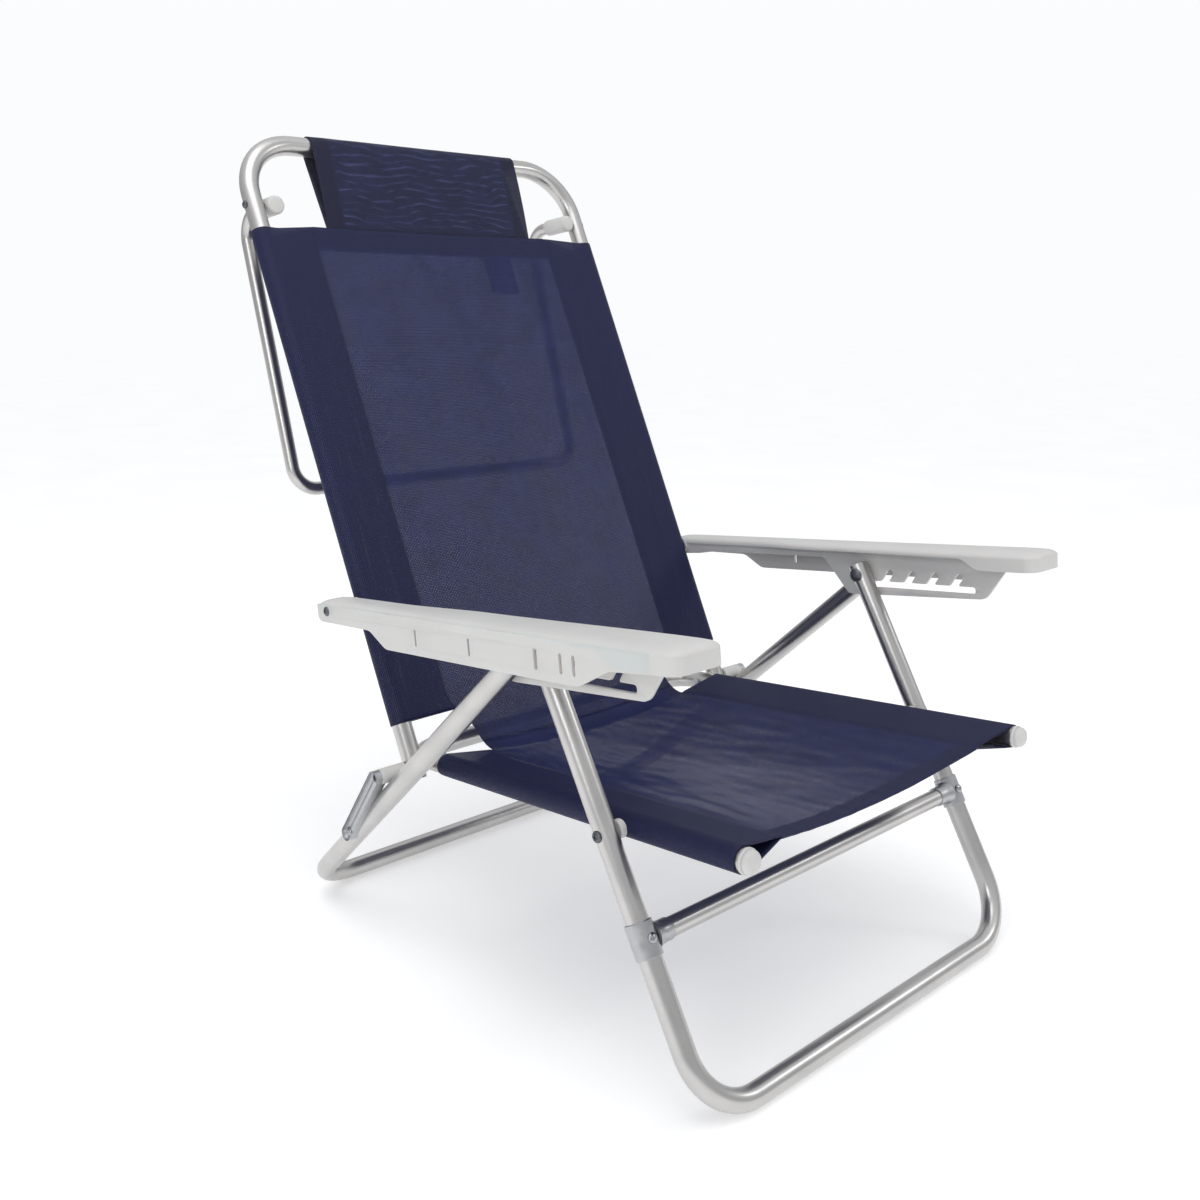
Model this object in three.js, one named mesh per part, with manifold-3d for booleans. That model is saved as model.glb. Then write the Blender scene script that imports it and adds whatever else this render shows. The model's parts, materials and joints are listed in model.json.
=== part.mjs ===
// A reclining beach chair: aluminium tube frames, a mesh sling, moulded armrests and a swinging rear bail.
// Millimetres, +Z up. The sitter faces -Y and the sitter's left hand is on +X.
// The chair stands open with its back in the most upright notch.
import * as THREE from "three";
import { mergeVertices } from "three/addons/utils/BufferGeometryUtils.js";
import Module from "manifold-3d";

// Gaps
const CLEAR = 0.3; // between touching pieces

// Tubes
const TUBE_R = 11; // legs, seat and back
const BRACE_R = 9.5;
const BAIL_R = 8;
const WALL = 1.4;
const SIDES = 12;
const SMALL_SIDES = 10; // bolts, rivets, spacers and their holes
const BEND_STEPS = 5;

// How far a tube's flats stand from its centre line, which is less than its radius at the corners
const flatRadius = (radius) => radius * Math.cos(Math.PI / SIDES);

// Side view, as (y, z): the pivots and the frame ends
const PIVOT_P = [-54.7, 384.9]; // both legs and the armrest slot
const PIVOT_S = [-142, 235.5]; // seat on the front leg
const PIVOT_B = [170.2, 205.9]; // back on the seat
const FOOT_Z = flatRadius(TUBE_R); // the ground bars stand on a flat of their section
const FRONT_FOOT = [-273.1, FOOT_Z];
const REAR_FOOT = [354.2, FOOT_Z];
const LINK_ALONG = 0.705; // link pivot, as a share of the way down the rear leg
const BRACE_ALONG = 0.624; // brace, as a share of the way down the front leg
const LEG_PAST_PIN = 12;
const BACK_TOP = [491.1, 877.7];
const BACK_STUB = 14; // back tube below its pivot
const SEAT_FRONT = [-279.4, 249.4];
const SEAT_PAST_B = 47; // rear crossbar behind the back pivot
const ARM_ALONG = 186; // armrest pivot up the back tube
const BAIL_ALONG = 664; // bail pivot up the back tube
const BAIL_ARM_END = [529.6, 797];
const BAIL_FOOT = [438.4, 476.8];
const MID_Y = 120.3; // the origin is on the floor below the middle of the whole chair

// Across the chair: tube centre lines from the middle
const REAR_X = 275.9;
const FRONT_X = 245.8;
const SEAT_X = 216.5;
const BACK_X = 243;
const BAIL_X = 220.6;

// Bends, to the tube's centre line
const LEG_BEND = 60;
const REAR_BEND = 60;
const SEAT_BEND = 36;
const BACK_BEND = 68;
const BAIL_BEND = 28;

// Pins and screws
const PIN_R = 4;
const BOLT_R = 3;
const RIVET_R = 2.4;
const LINK_T = 2.6;
const LINK_R = 8;
const SPACER_R = 8.4;
const SEAT_SPACER_R = 9;
const BUSH_R = 7; // turning bush over each armrest screw
const BUSH_BORE = 7.7;

// Armrest, in its own frame: u forward from its pivot, v up, x outwards from the chair's middle
const ARM_TILT = THREE.MathUtils.degToRad(6.2);
const ARM_OUTER = [290.2, 293.4];
const ARM_INNER = [258.5, 262.3];
const ARM_TOP = [5, 12];
const ARM_END_R = 20;
const ARM_LENGTH = 527;
const PIN_U = 304.5;
const PIN_V = -22;
const NOTCHES = 5;
const NOTCH_PITCH = 30.4;
const NOTCH_W = 8.6;
const NOTCH_BACK = 10; // how far each notch leans back, from its top to the track
const TRACK = [-39.2, -31.6];

// Sling
const SLEEVE_R = 12.5;
const SLING_T = 1.6;
const BACK_SLING = [60, 637]; // along the back, from its pivot
const SEAT_SLING = [20, 441]; // along the seat, forward from the back pivot
const FOLD_HALF = 148; // half the width of the strip that bends between seat and back
const FOLD_REACH = 85; // its length along the seat and along the back, from their pivot

const wasm = await Module();
wasm.setup();

const paint = (color, roughness, metalness) => () =>
  new THREE.MeshStandardMaterial({ color, roughness, metalness });
const ALUMINIUM = paint(0xb9bcc0, 0.38, 1);
const WHITE_PLASTIC = paint(0xe9eaee, 0.45, 0);
const DARK_STEEL = paint(0x3c3d44, 0.4, 0.8);
const BRIGHT_STEEL = paint(0xa9abb0, 0.3, 1);
const SLING = paint(0x34385c, 0.8, 0);
const LABEL = paint(0x23263f, 0.9, 0);

const chair = new THREE.Group();
chair.position.y = -MID_Y;

function place(name, geometry, material) {
  const mesh = new THREE.Mesh(geometry, material());
  mesh.name = name;
  chair.add(mesh);
  return mesh;
}

// A piece made for the sitter's left, and its mirror image on the right.
function pair(name, geometry, material) {
  place(`${name}_left`, geometry, material);
  place(`${name}_right`, geometry, material).scale.x = -1;
}

function toSolid(geometry) {
  const bare = new THREE.BufferGeometry();
  bare.setAttribute("position", geometry.getAttribute("position"));
  if (geometry.index) bare.setIndex(geometry.index);
  const merged = mergeVertices(bare, 1e-3);
  const triVerts = [];
  for (let i = 0; i < merged.index.count; i += 3) {
    const [a, b, c] = [0, 1, 2].map((k) => merged.index.getX(i + k));
    if (a !== b && b !== c && a !== c) triVerts.push(a, b, c);
  }
  const vertProperties = new Float32Array(merged.attributes.position.array);
  const mesh = new wasm.Mesh({
    numProp: 3,
    vertProperties,
    triVerts: new Uint32Array(triVerts),
  });
  return new wasm.Manifold(mesh);
}

function fromSolid(solid) {
  const mesh = solid.getMesh();
  const geometry = new THREE.BufferGeometry();
  geometry.setAttribute("position", new THREE.BufferAttribute(mesh.vertProperties, 3));
  geometry.setIndex(new THREE.BufferAttribute(mesh.triVerts, 1));
  return geometry;
}

const join = (...pieces) =>
  fromSolid(pieces.map(toSolid).reduce((whole, next) => whole.add(next)));
const cut = (piece, ...tools) =>
  fromSolid(tools.map(toSolid).reduce((whole, next) => whole.subtract(next), toSolid(piece)));

// A tube's centre line: straight runs between corners, each corner rounded to a bend radius.
// Its parameter counts the places where the section is needed, so straight runs cost nothing.
class TubeLine extends THREE.Curve {
  constructor(corners, bend) {
    super();
    const at = corners.map((c) => new THREE.Vector3(...c));
    this.stops = [];
    const direction = (a, b) => b.clone().sub(a).normalize();
    this.stops.push([at[0], direction(at[0], at[1])]);
    for (let i = 1; i < at.length - 1; i++) {
      const before = direction(at[i - 1], at[i]);
      const after = direction(at[i], at[i + 1]);
      const turn = before.angleTo(after);
      const axis = before.clone().cross(after).normalize();
      const start = at[i].clone().addScaledVector(before, -bend * Math.tan(turn / 2));
      const centre = start.clone().addScaledVector(axis.clone().cross(before), bend);
      for (let k = 0; k <= BEND_STEPS; k++) {
        const angle = (turn * k) / BEND_STEPS;
        const spoke = start.clone().sub(centre).applyAxisAngle(axis, angle);
        const heading = before.clone().applyAxisAngle(axis, angle);
        this.stops.push([spoke.add(centre), heading]);
      }
    }
    this.stops.push([at.at(-1), direction(at.at(-2), at.at(-1))]);
  }
  get steps() {
    return this.stops.length - 1;
  }
  stop(t) {
    return this.stops[Math.round(t * this.steps)];
  }
  getPointAt(t) {
    return this.stop(t)[0].clone();
  }
  getPoint(t) {
    return this.getPointAt(t);
  }
  getTangentAt(t) {
    return this.stop(t)[1].clone();
  }
  getSpacedPoints(count) {
    return Array.from({ length: count + 1 }, (_, i) => this.getPointAt(i / count));
  }
}

// A regular section with a flat side facing `phase`, so that a ground bar rests on a flat.
function ringPoints(radius, sides, phase) {
  const corner = (k) => phase + ((k + 0.5) * 2 * Math.PI) / sides;
  const point = (a) => new THREE.Vector2(radius * Math.cos(a), radius * Math.sin(a));
  return Array.from({ length: sides }, (_, k) => point(corner(k)));
}

function tube(corners, bend, radius, phase = 0) {
  const line = new TubeLine(corners, bend);
  const section = new THREE.Shape(ringPoints(radius, SIDES, phase));
  section.holes.push(new THREE.Path(ringPoints(radius - WALL, SIDES, phase)));
  return new THREE.ExtrudeGeometry(section, { extrudePath: line, steps: line.steps });
}

// A turned piece about an X-wise axis through (y, z); profile is a closed list of [x, radius].
function turned(profile, [y, z], sides = SMALL_SIDES) {
  const points = profile.map(([x, r]) => new THREE.Vector2(r, x));
  if (profile[0][1] > 0) points.push(points[0].clone());
  const geometry = new THREE.LatheGeometry(points, sides);
  geometry.rotateZ(-Math.PI / 2);
  const out = geometry.applyMatrix4(new THREE.Matrix4().makeTranslation(0, y, z));
  return toSolid(out).volume() > 0 ? out : flipped(out);
}

function flipped(geometry) {
  const index = geometry.index;
  for (let i = 0; i < index.count; i += 3) {
    const a = index.getX(i);
    index.setX(i, index.getX(i + 1));
    index.setX(i + 1, a);
  }
  return geometry;
}

const rod = (x0, x1, radius, at) =>
  turned([[x0, 0], [x0, radius], [x1, radius], [x1, 0]], at);
const ring = (x0, x1, inner, outer, at) =>
  turned([[x0, inner], [x0, outer], [x1, outer], [x1, inner]], at);

// A cylinder between two points.
function barBetween(from, to, radius, sides = SIDES) {
  const a = new THREE.Vector3(...from);
  const b = new THREE.Vector3(...to);
  const geometry = new THREE.CylinderGeometry(radius, radius, a.distanceTo(b), sides);
  const turn = new THREE.Quaternion().setFromUnitVectors(
    new THREE.Vector3(0, 1, 0),
    b.clone().sub(a).normalize(),
  );
  geometry.applyQuaternion(turn);
  const middle = a.add(b).multiplyScalar(0.5);
  return geometry.translate(middle.x, middle.y, middle.z);
}

// Side-view helpers
const along = (a, b, share) => [a[0] + (b[0] - a[0]) * share, a[1] + (b[1] - a[1]) * share];
function unit(a, b) {
  const length = Math.hypot(b[0] - a[0], b[1] - a[1]);
  return [(b[0] - a[0]) / length, (b[1] - a[1]) / length];
}
const step = (from, way, distance) => [from[0] + way[0] * distance, from[1] + way[1] * distance];

const FRONT_WAY = unit(PIVOT_P, FRONT_FOOT);
const REAR_WAY = unit(PIVOT_P, REAR_FOOT);
const BACK_WAY = unit(PIVOT_B, BACK_TOP);
const SEAT_WAY = unit(PIVOT_B, SEAT_FRONT);
const PIVOT_L = along(PIVOT_P, REAR_FOOT, LINK_ALONG);
const PIVOT_A = step(PIVOT_B, BACK_WAY, ARM_ALONG);
const PIVOT_BAIL = step(PIVOT_B, BACK_WAY, BAIL_ALONG);
const BRACE_AT = along(PIVOT_P, FRONT_FOOT, BRACE_ALONG);

// Turns a U frame's section so that a flat faces down where the bar crosses the floor.
const floorPhase = (way) => Math.PI / 2 - Math.atan2(-way[1], way[0]);

function uFrame(top, foot, x, bend, radius, phase) {
  const corners = [[x, ...top], [x, ...foot], [-x, ...foot], [-x, ...top]];
  return tube(corners, bend, radius, phase);
}

const bothSides = (make) => [make(1), make(-1)];
const hole = (x0, x1, radius, at) => bothSides((s) => rod(s * x0, s * x1, radius, at));

// Front and rear legs: two U frames crossing at the armrest pins.
function frontLegs() {
  const top = step(PIVOT_P, FRONT_WAY, -LEG_PAST_PIN);
  const frame = uFrame(top, FRONT_FOOT, FRONT_X, LEG_BEND, TUBE_R, floorPhase(FRONT_WAY));
  const [x0, x1] = [FRONT_X - 15, FRONT_X + 15];
  const rivets = bothSides((s) => clampRivet(s, RIVET_R + CLEAR));
  return cut(
    frame,
    ...hole(x0, x1, PIN_R + CLEAR, PIVOT_P),
    ...hole(x0, x1, BOLT_R + CLEAR, PIVOT_S),
    ...rivets,
  );
}

function rearLegs() {
  const top = step(PIVOT_P, REAR_WAY, -LEG_PAST_PIN);
  const frame = uFrame(top, REAR_FOOT, REAR_X, REAR_BEND, TUBE_R, floorPhase(REAR_WAY));
  const [x0, x1] = [REAR_X - 15, REAR_X + 15];
  return cut(
    frame,
    ...hole(x0, x1, PIN_R + CLEAR, PIVOT_P),
    ...hole(x0, x1, RIVET_R + CLEAR, PIVOT_L),
  );
}

// Seat: a U frame open at the front, crossbar at the rear.
function seatFrame() {
  const rear = step(PIVOT_B, SEAT_WAY, -SEAT_PAST_B);
  const frame = uFrame(SEAT_FRONT, rear, SEAT_X, SEAT_BEND, TUBE_R);
  const [x0, x1] = [SEAT_X - 15, SEAT_X + 15];
  return cut(
    frame,
    ...hole(x0, x1, BOLT_R + CLEAR, PIVOT_S),
    ...hole(x0, x1, BOLT_R + CLEAR, PIVOT_B),
  );
}

// Back: an inverted U with rounded top corners.
function backFrame() {
  const foot = step(PIVOT_B, BACK_WAY, -BACK_STUB);
  const frame = uFrame(foot, BACK_TOP, BACK_X, BACK_BEND, TUBE_R);
  const [x0, x1] = [BACK_X - 15, BACK_X + 15];
  return cut(
    frame,
    ...hole(x0, x1, BOLT_R + CLEAR, PIVOT_B),
    ...hole(x0, x1, BOLT_R + CLEAR, PIVOT_A),
    ...hole(x0, x1, BOLT_R + CLEAR, PIVOT_BAIL),
  );
}

// The brace between the front legs: a tube that ends inside a clamp on each leg.
const CLAMP_HALF = 16;
const CLAMP_R = 13.2;
const STUB_END = 208;
const STUB_BUTT = 228;
const CLAMP_SIDES = 16;

function frontBrace() {
  return tube([[-STUB_BUTT, ...BRACE_AT], [STUB_BUTT, ...BRACE_AT]], 1, BRACE_R);
}

function clampRivet(side, radius) {
  const across = [-FRONT_WAY[1], FRONT_WAY[0]];
  const front = step(BRACE_AT, across, -CLAMP_R - 1);
  const rear = step(BRACE_AT, across, CLAMP_R + 1);
  return barBetween([side * FRONT_X, ...front], [side * FRONT_X, ...rear], radius, SMALL_SIDES);
}

function legClamp() {
  const end = (distance) => [FRONT_X, ...step(BRACE_AT, FRONT_WAY, distance)];
  const sleeve = barBetween(end(-CLAMP_HALF), end(CLAMP_HALF), CLAMP_R, CLAMP_SIDES);
  const middle = [FRONT_X, ...BRACE_AT];
  const stub = barBetween([STUB_END, ...BRACE_AT], middle, flatRadius(BRACE_R - WALL) - CLEAR);
  const collar = barBetween([STUB_BUTT + CLEAR, ...BRACE_AT], middle, BRACE_R + 1.5);
  const bore = barBetween(end(-CLAMP_HALF - 5), end(CLAMP_HALF + 5), TUBE_R + CLEAR, CLAMP_SIDES);
  return cut(join(sleeve, stub, collar), bore, clampRivet(1, RIVET_R + CLEAR));
}

function clampRivetHeaded() {
  const across = [-FRONT_WAY[1], FRONT_WAY[0]];
  const at = (distance) => [FRONT_X, ...step(BRACE_AT, across, distance)];
  const face = CLAMP_R + CLEAR;
  const shank = barBetween(at(-face - 1), at(face + 1), RIVET_R, SMALL_SIDES);
  const front = barBetween(at(-face - 2), at(-face), RIVET_R * 2, SMALL_SIDES);
  const rear = barBetween(at(face), at(face + 1.6), RIVET_R * 1.8, SMALL_SIDES);
  return join(shank, front, rear);
}

// A bolt along X with a domed head at its outer end, x0 inside and x1 under the head.
function bolt(x0, x1, radius, at, headR = radius * 2, headH = 2.6) {
  const profile = [[x0, 0], [x0, radius], [x1, radius], [x1, headR]];
  profile.push([x1 + headH * 0.45, headR], [x1 + headH, headR * 0.55], [x1 + headH, 0]);
  return turned(profile, at);
}

// The armrest pins. The slotted wall runs between the legs, so the pin is in two halves there.
function addTopPins() {
  const legIn = FRONT_X - TUBE_R - CLEAR;
  const inner = [[legIn - 3.4, 0], [legIn - 3.4, 4.4], [legIn - 2, 8], [legIn, 8]];
  inner.push([legIn, PIN_R], [ARM_INNER[0] - CLEAR, PIN_R], [ARM_INNER[0] - CLEAR, 0]);
  pair("armrest_pin_inner", turned(inner, PIVOT_P), DARK_STEEL);
  const head = REAR_X + TUBE_R + CLEAR;
  pair("armrest_pin_outer", bolt(ARM_INNER[1] + CLEAR, head, PIN_R, PIVOT_P, 7.5, 2.4), BRIGHT_STEEL);
}

// Seat pivots: a bolt through leg and seat tube, with a plastic spacer between them.
function addSeatPivots() {
  const seatIn = SEAT_X - TUBE_R;
  const nut = seatIn - CLEAR;
  pair("seat_pivot_bolt", bolt(nut - 5.6, FRONT_X + TUBE_R + CLEAR, BOLT_R, PIVOT_S, 6.8), DARK_STEEL);
  pair("seat_pivot_nut", ring(nut - 5, nut, BOLT_R + CLEAR, 5.5, PIVOT_S), BRIGHT_STEEL);
  const spacer = [SEAT_X + TUBE_R + CLEAR, FRONT_X - TUBE_R - CLEAR];
  pair("seat_pivot_spacer", ring(...spacer, BOLT_R + CLEAR, SEAT_SPACER_R, PIVOT_S), WHITE_PLASTIC);
}

// Rear pivots: a short bolt joins seat and back; the link's own bolt carries the long spacer outside.
function addRearPivots() {
  const nut = SEAT_X - TUBE_R - CLEAR;
  const backOut = BACK_X + TUBE_R;
  pair("rear_pivot_bolt", bolt(nut - 5.4, backOut, BOLT_R, PIVOT_B, 5.4, 1.2), BRIGHT_STEEL);
  pair("rear_pivot_nut", ring(nut - 5, nut, BOLT_R + CLEAR, 6, PIVOT_B), BRIGHT_STEEL);
  const washer = [SEAT_X + TUBE_R + CLEAR, BACK_X - TUBE_R - CLEAR];
  pair("rear_pivot_washer", ring(...washer, BOLT_R + CLEAR, 8, PIVOT_B), WHITE_PLASTIC);
  const linkIn = REAR_X + TUBE_R + 0.5;
  const spacer = [backOut + 1.2 + 2 * CLEAR, linkIn - CLEAR];
  pair("link_spacer", ring(...spacer, BOLT_R + CLEAR, SPACER_R, PIVOT_B), WHITE_PLASTIC);
  const head = linkIn + LINK_T + CLEAR;
  pair("link_bolt", bolt(spacer[0] + 2, head, BOLT_R, PIVOT_B, 6.8), DARK_STEEL);
  pair("side_link", sideLink(linkIn), ALUMINIUM);
  const rivet = [REAR_X - TUBE_R - CLEAR, RIVET_R * 1.9];
  const profile = [[rivet[0] - 1.6, 0], [rivet[0] - 1.6, 3], [rivet[0], rivet[1]], [rivet[0], RIVET_R]];
  profile.push([head, RIVET_R], [head, 5], [head + 1.4, 4.4], [head + 2, 2], [head + 2, 0]);
  pair("link_rivet", turned(profile, PIVOT_L), BRIGHT_STEEL);
}

// The flat bar from the rear pivot down to the rear leg.
function sideLink(x) {
  const [a, b] = [PIVOT_B, PIVOT_L];
  const heading = Math.atan2(b[1] - a[1], b[0] - a[0]);
  const outline = new THREE.Shape();
  outline.absarc(a[0], a[1], LINK_R, heading + Math.PI / 2, heading + Math.PI * 1.5, false);
  outline.absarc(b[0], b[1], LINK_R, heading - Math.PI / 2, heading + Math.PI / 2, false);
  const plate = new THREE.ExtrudeGeometry(outline, { depth: LINK_T, bevelEnabled: false, curveSegments: 6 });
  toSideView(plate, x);
  const bores = [[a, BOLT_R], [b, RIVET_R]];
  return cut(plate, ...bores.map(([at, r]) => rod(x - 1, x + LINK_T + 1, r + CLEAR, at)));
}

// Lays an outline drawn as (y, z) and extruded in depth on the plane x, its depth going outwards.
function toSideView(geometry, x) {
  const axes = new THREE.Matrix4().makeBasis(
    new THREE.Vector3(0, 1, 0),
    new THREE.Vector3(0, 0, 1),
    new THREE.Vector3(1, 0, 0),
  );
  return geometry.applyMatrix4(axes).translate(x, 0, 0);
}

// White domed plugs in the seat tubes' open ends, with a flange that stands on the tube's rim.
function addSeatPlugs() {
  const inner = flatRadius(TUBE_R - WALL) - CLEAR;
  const profile = [[0, 0], [0, inner - 1], [12, inner], [16, inner], [16, TUBE_R + 0.8]];
  profile.push([19, TUBE_R + 0.8], [20, TUBE_R], [20, TUBE_R - 1], [24, TUBE_R - 4], [25, 0]);
  const geometry = turned(profile.map(([x, r]) => [x - 16 + CLEAR, r]), [0, 0], SIDES);
  geometry.applyMatrix4(
    new THREE.Matrix4().makeBasis(
      new THREE.Vector3(0, ...SEAT_WAY),
      new THREE.Vector3(0, -SEAT_WAY[1], SEAT_WAY[0]),
      new THREE.Vector3(1, 0, 0),
    ),
  );
  geometry.translate(SEAT_X, ...SEAT_FRONT);
  pair("seat_plug", geometry, WHITE_PLASTIC);
}

// Armrest: a domed top on two walls. The inner wall is the ratchet, the outer one has cooling slits.
function armTop() {
  const outline = new THREE.Shape();
  const [rearIn, rearOut] = [256.6, ARM_OUTER[1]];
  const [frontIn, frontOut] = [238.5, 298];
  outline.moveTo(-ARM_END_R + 8, rearIn);
  outline.lineTo(112, rearIn);
  outline.bezierCurveTo(150, rearIn - 2, 190, 249, 240, 247);
  outline.lineTo(ARM_LENGTH - 40, frontIn);
  outline.bezierCurveTo(ARM_LENGTH - 10, frontIn, ARM_LENGTH, frontIn + 8, ARM_LENGTH, frontIn + 24);
  outline.lineTo(ARM_LENGTH, frontOut - 24);
  outline.bezierCurveTo(ARM_LENGTH, frontOut - 8, ARM_LENGTH - 10, frontOut, ARM_LENGTH - 40, frontOut);
  outline.lineTo(240, 294.5);
  outline.lineTo(-ARM_END_R + 8, rearOut);
  outline.quadraticCurveTo(-ARM_END_R, rearOut, -ARM_END_R, rearOut - 8);
  outline.lineTo(-ARM_END_R, rearIn + 8);
  outline.quadraticCurveTo(-ARM_END_R, rearIn, -ARM_END_R + 8, rearIn);
  const bevel = 2.5;
  const slab = new THREE.ExtrudeGeometry(outline, {
    depth: ARM_TOP[1] - ARM_TOP[0] - bevel,
    bevelThickness: bevel,
    bevelSize: bevel,
    bevelOffset: -bevel,
    bevelSegments: 1,
    curveSegments: 4,
  });
  // drawn as (u, x) and extruded along v
  const axes = new THREE.Matrix4().makeBasis(
    new THREE.Vector3(0, -1, 0),
    new THREE.Vector3(1, 0, 0),
    new THREE.Vector3(0, 0, 1),
  );
  return slab.applyMatrix4(axes).translate(0, 0, ARM_TOP[0]);
}

// A wall drawn as (u, v) between two planes of x.
function armWall(outline, [x0, x1]) {
  const wall = new THREE.ExtrudeGeometry(outline, { depth: x1 - x0, bevelEnabled: false, curveSegments: 4 });
  const axes = new THREE.Matrix4().makeBasis(
    new THREE.Vector3(0, -1, 0),
    new THREE.Vector3(0, 0, 1),
    new THREE.Vector3(-1, 0, 0),
  );
  return wall.applyMatrix4(axes).translate(x1, 0, 0);
}

function outerWallOutline() {
  const top = ARM_TOP[0] + 2;
  const outline = new THREE.Shape();
  outline.moveTo(-ARM_END_R, top);
  outline.lineTo(-ARM_END_R, 0);
  outline.quadraticCurveTo(-ARM_END_R, -12, -6, -12);
  outline.lineTo(84, -14);
  outline.bezierCurveTo(104, -15, 100, -30.4, 120, -30.4);
  outline.lineTo(404, -30.4);
  outline.bezierCurveTo(440, -30.4, 434, -12, 462, -11);
  outline.lineTo(505, -8);
  outline.quadraticCurveTo(522, -6, ARM_LENGTH - 4, top);
  return outline;
}

function innerWallOutline() {
  const top = ARM_TOP[0] + 2;
  const outline = new THREE.Shape();
  outline.moveTo(-ARM_END_R, top);
  outline.lineTo(-ARM_END_R, 0);
  outline.quadraticCurveTo(-ARM_END_R, -12, -6, -12);
  outline.lineTo(30, -10);
  outline.lineTo(60, -6.5);
  outline.lineTo(236, -5.5);
  outline.bezierCurveTo(262, -6, 262, -49, 288, -49.5);
  outline.lineTo(444, -45);
  outline.bezierCurveTo(474, -44, 474, -6, 502, -4);
  outline.lineTo(ARM_LENGTH - 10, -1);
  outline.lineTo(ARM_LENGTH - 4, top);
  return outline;
}

// A slot with round ends between two points of the (u, v) plane.
function stadium(a, b, width) {
  const heading = Math.atan2(b[1] - a[1], b[0] - a[0]);
  const outline = new THREE.Shape();
  outline.absarc(a[0], a[1], width / 2, heading + Math.PI / 2, heading + Math.PI * 1.5, false);
  outline.absarc(b[0], b[1], width / 2, heading - Math.PI / 2, heading + Math.PI / 2, false);
  return outline;
}

function ratchetSlots() {
  const wall = [ARM_INNER[0] - 1, ARM_INNER[1] + 1];
  const height = TRACK[1] - TRACK[0];
  const level = (TRACK[0] + TRACK[1]) / 2;
  const first = PIN_U - NOTCH_BACK;
  const last = PIN_U + NOTCH_PITCH * (NOTCHES - 1) + 16;
  const slots = [armWall(stadium([first, level], [last, level], height), wall)];
  for (let i = 0; i < NOTCHES; i++) {
    const u = PIN_U + i * NOTCH_PITCH;
    slots.push(armWall(stadium([u - NOTCH_BACK, level], [u, PIN_V + 0.2], NOTCH_W), wall));
  }
  return slots;
}

function coolingSlits() {
  const slit = (u, width, low) => {
    const reach = [ARM_OUTER[0] - 1, ARM_OUTER[1] + 6];
    return armWall(stadium([u, low], [u, low + 14], width), reach);
  };
  return [slit(170, 3, -20), slit(259, 3, -20), slit(358, 5, -20), slit(392, 4, -20), slit(409, 4, -20)];
}

function armrest() {
  const boss = ring(BACK_X + SLEEVE_R + CLEAR, ARM_OUTER[0] + 1, BUSH_R, BUSH_BORE + 2, [0, 0]);
  const rib = (u) => {
    const box = new THREE.BoxGeometry(ARM_OUTER[0] - ARM_INNER[1] + 2, 2.4, 12);
    return box.translate((ARM_OUTER[0] + ARM_INNER[1]) / 2, -u, 0);
  };
  const body = join(
    armTop(),
    armWall(outerWallOutline(), ARM_OUTER),
    armWall(innerWallOutline(), ARM_INNER),
    boss,
    rib(60),
    rib(130),
    rib(480),
  );
  const bushBore = rod(BACK_X, ARM_OUTER[0], BUSH_BORE, [0, 0]);
  const screwBore = rod(BACK_X, ARM_OUTER[1] + 2, BOLT_R + CLEAR, [0, 0]);
  const piece = cut(body, bushBore, screwBore, ...ratchetSlots(), ...coolingSlits());
  return piece.applyMatrix4(armMatrix());
}

// The armrest's frame, tilted nose up at its pivot on the back tube.
function armMatrix() {
  const turn = new THREE.Matrix4().makeRotationX(-ARM_TILT);
  return new THREE.Matrix4().makeTranslation(0, ...PIVOT_A).multiply(turn);
}

function addArmrests() {
  pair("armrest", armrest(), WHITE_PLASTIC);
  const inside = BACK_X - TUBE_R - CLEAR;
  const screw = bolt(inside - 1, ARM_OUTER[1] + CLEAR, BOLT_R, PIVOT_A, 6, 2.4);
  const cap = rod(inside - 2.4, inside, 5, PIVOT_A);
  pair("armrest_screw", join(screw, cap), DARK_STEEL);
  const bush = [BACK_X + SLEEVE_R + 2 * CLEAR, ARM_OUTER[0] - CLEAR];
  pair("armrest_bush", ring(...bush, BOLT_R + CLEAR, BUSH_R, PIVOT_A), BRIGHT_STEEL);
}

// The rear bail: a thin U that hangs behind the back, its ends bent forward into two pivoting caps.
const CAP_R = 10.6;
const CAP_MOUTH = 30; // cap length behind the pivot
const CAP_NOSE = 12;
const CAP_SIDES = 14;

function bailFrame() {
  const way = unit(PIVOT_BAIL, BAIL_ARM_END);
  const start = step(PIVOT_BAIL, way, 8);
  const half = [start, BAIL_ARM_END, BAIL_FOOT].map((at) => [BAIL_X, ...at]);
  const other = half.map(([x, y, z]) => [-x, y, z]).reverse();
  return tube([...half, ...other], BAIL_BEND, BAIL_R);
}

function bailCap() {
  const way = unit(PIVOT_BAIL, BAIL_ARM_END);
  const at = (distance) => [BAIL_X, ...step(PIVOT_BAIL, way, distance)];
  const shell = barBetween(at(0), at(CAP_MOUTH), CAP_R, CAP_SIDES);
  const nose = new THREE.SphereGeometry(CAP_R, CAP_SIDES, 8);
  nose.scale(1, CAP_NOSE / CAP_R, CAP_NOSE / CAP_R);
  nose.translate(...at(0));
  const socket = barBetween(at(8 - CLEAR), at(CAP_MOUTH + 5), BAIL_R + CLEAR, CAP_SIDES);
  const bore = rod(BAIL_X - 20, BAIL_X + 20, BOLT_R + CLEAR, PIVOT_BAIL);
  return cut(join(shell, nose), socket, bore);
}

function addBail() {
  place("support_bail", bailFrame(), ALUMINIUM);
  pair("bail_cap", bailCap(), WHITE_PLASTIC);
  const head = BACK_X + TUBE_R + CLEAR;
  pair("bail_screw", bolt(BAIL_X - 8, head, BOLT_R, PIVOT_BAIL, 6, 2.4), DARK_STEEL);
}

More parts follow.
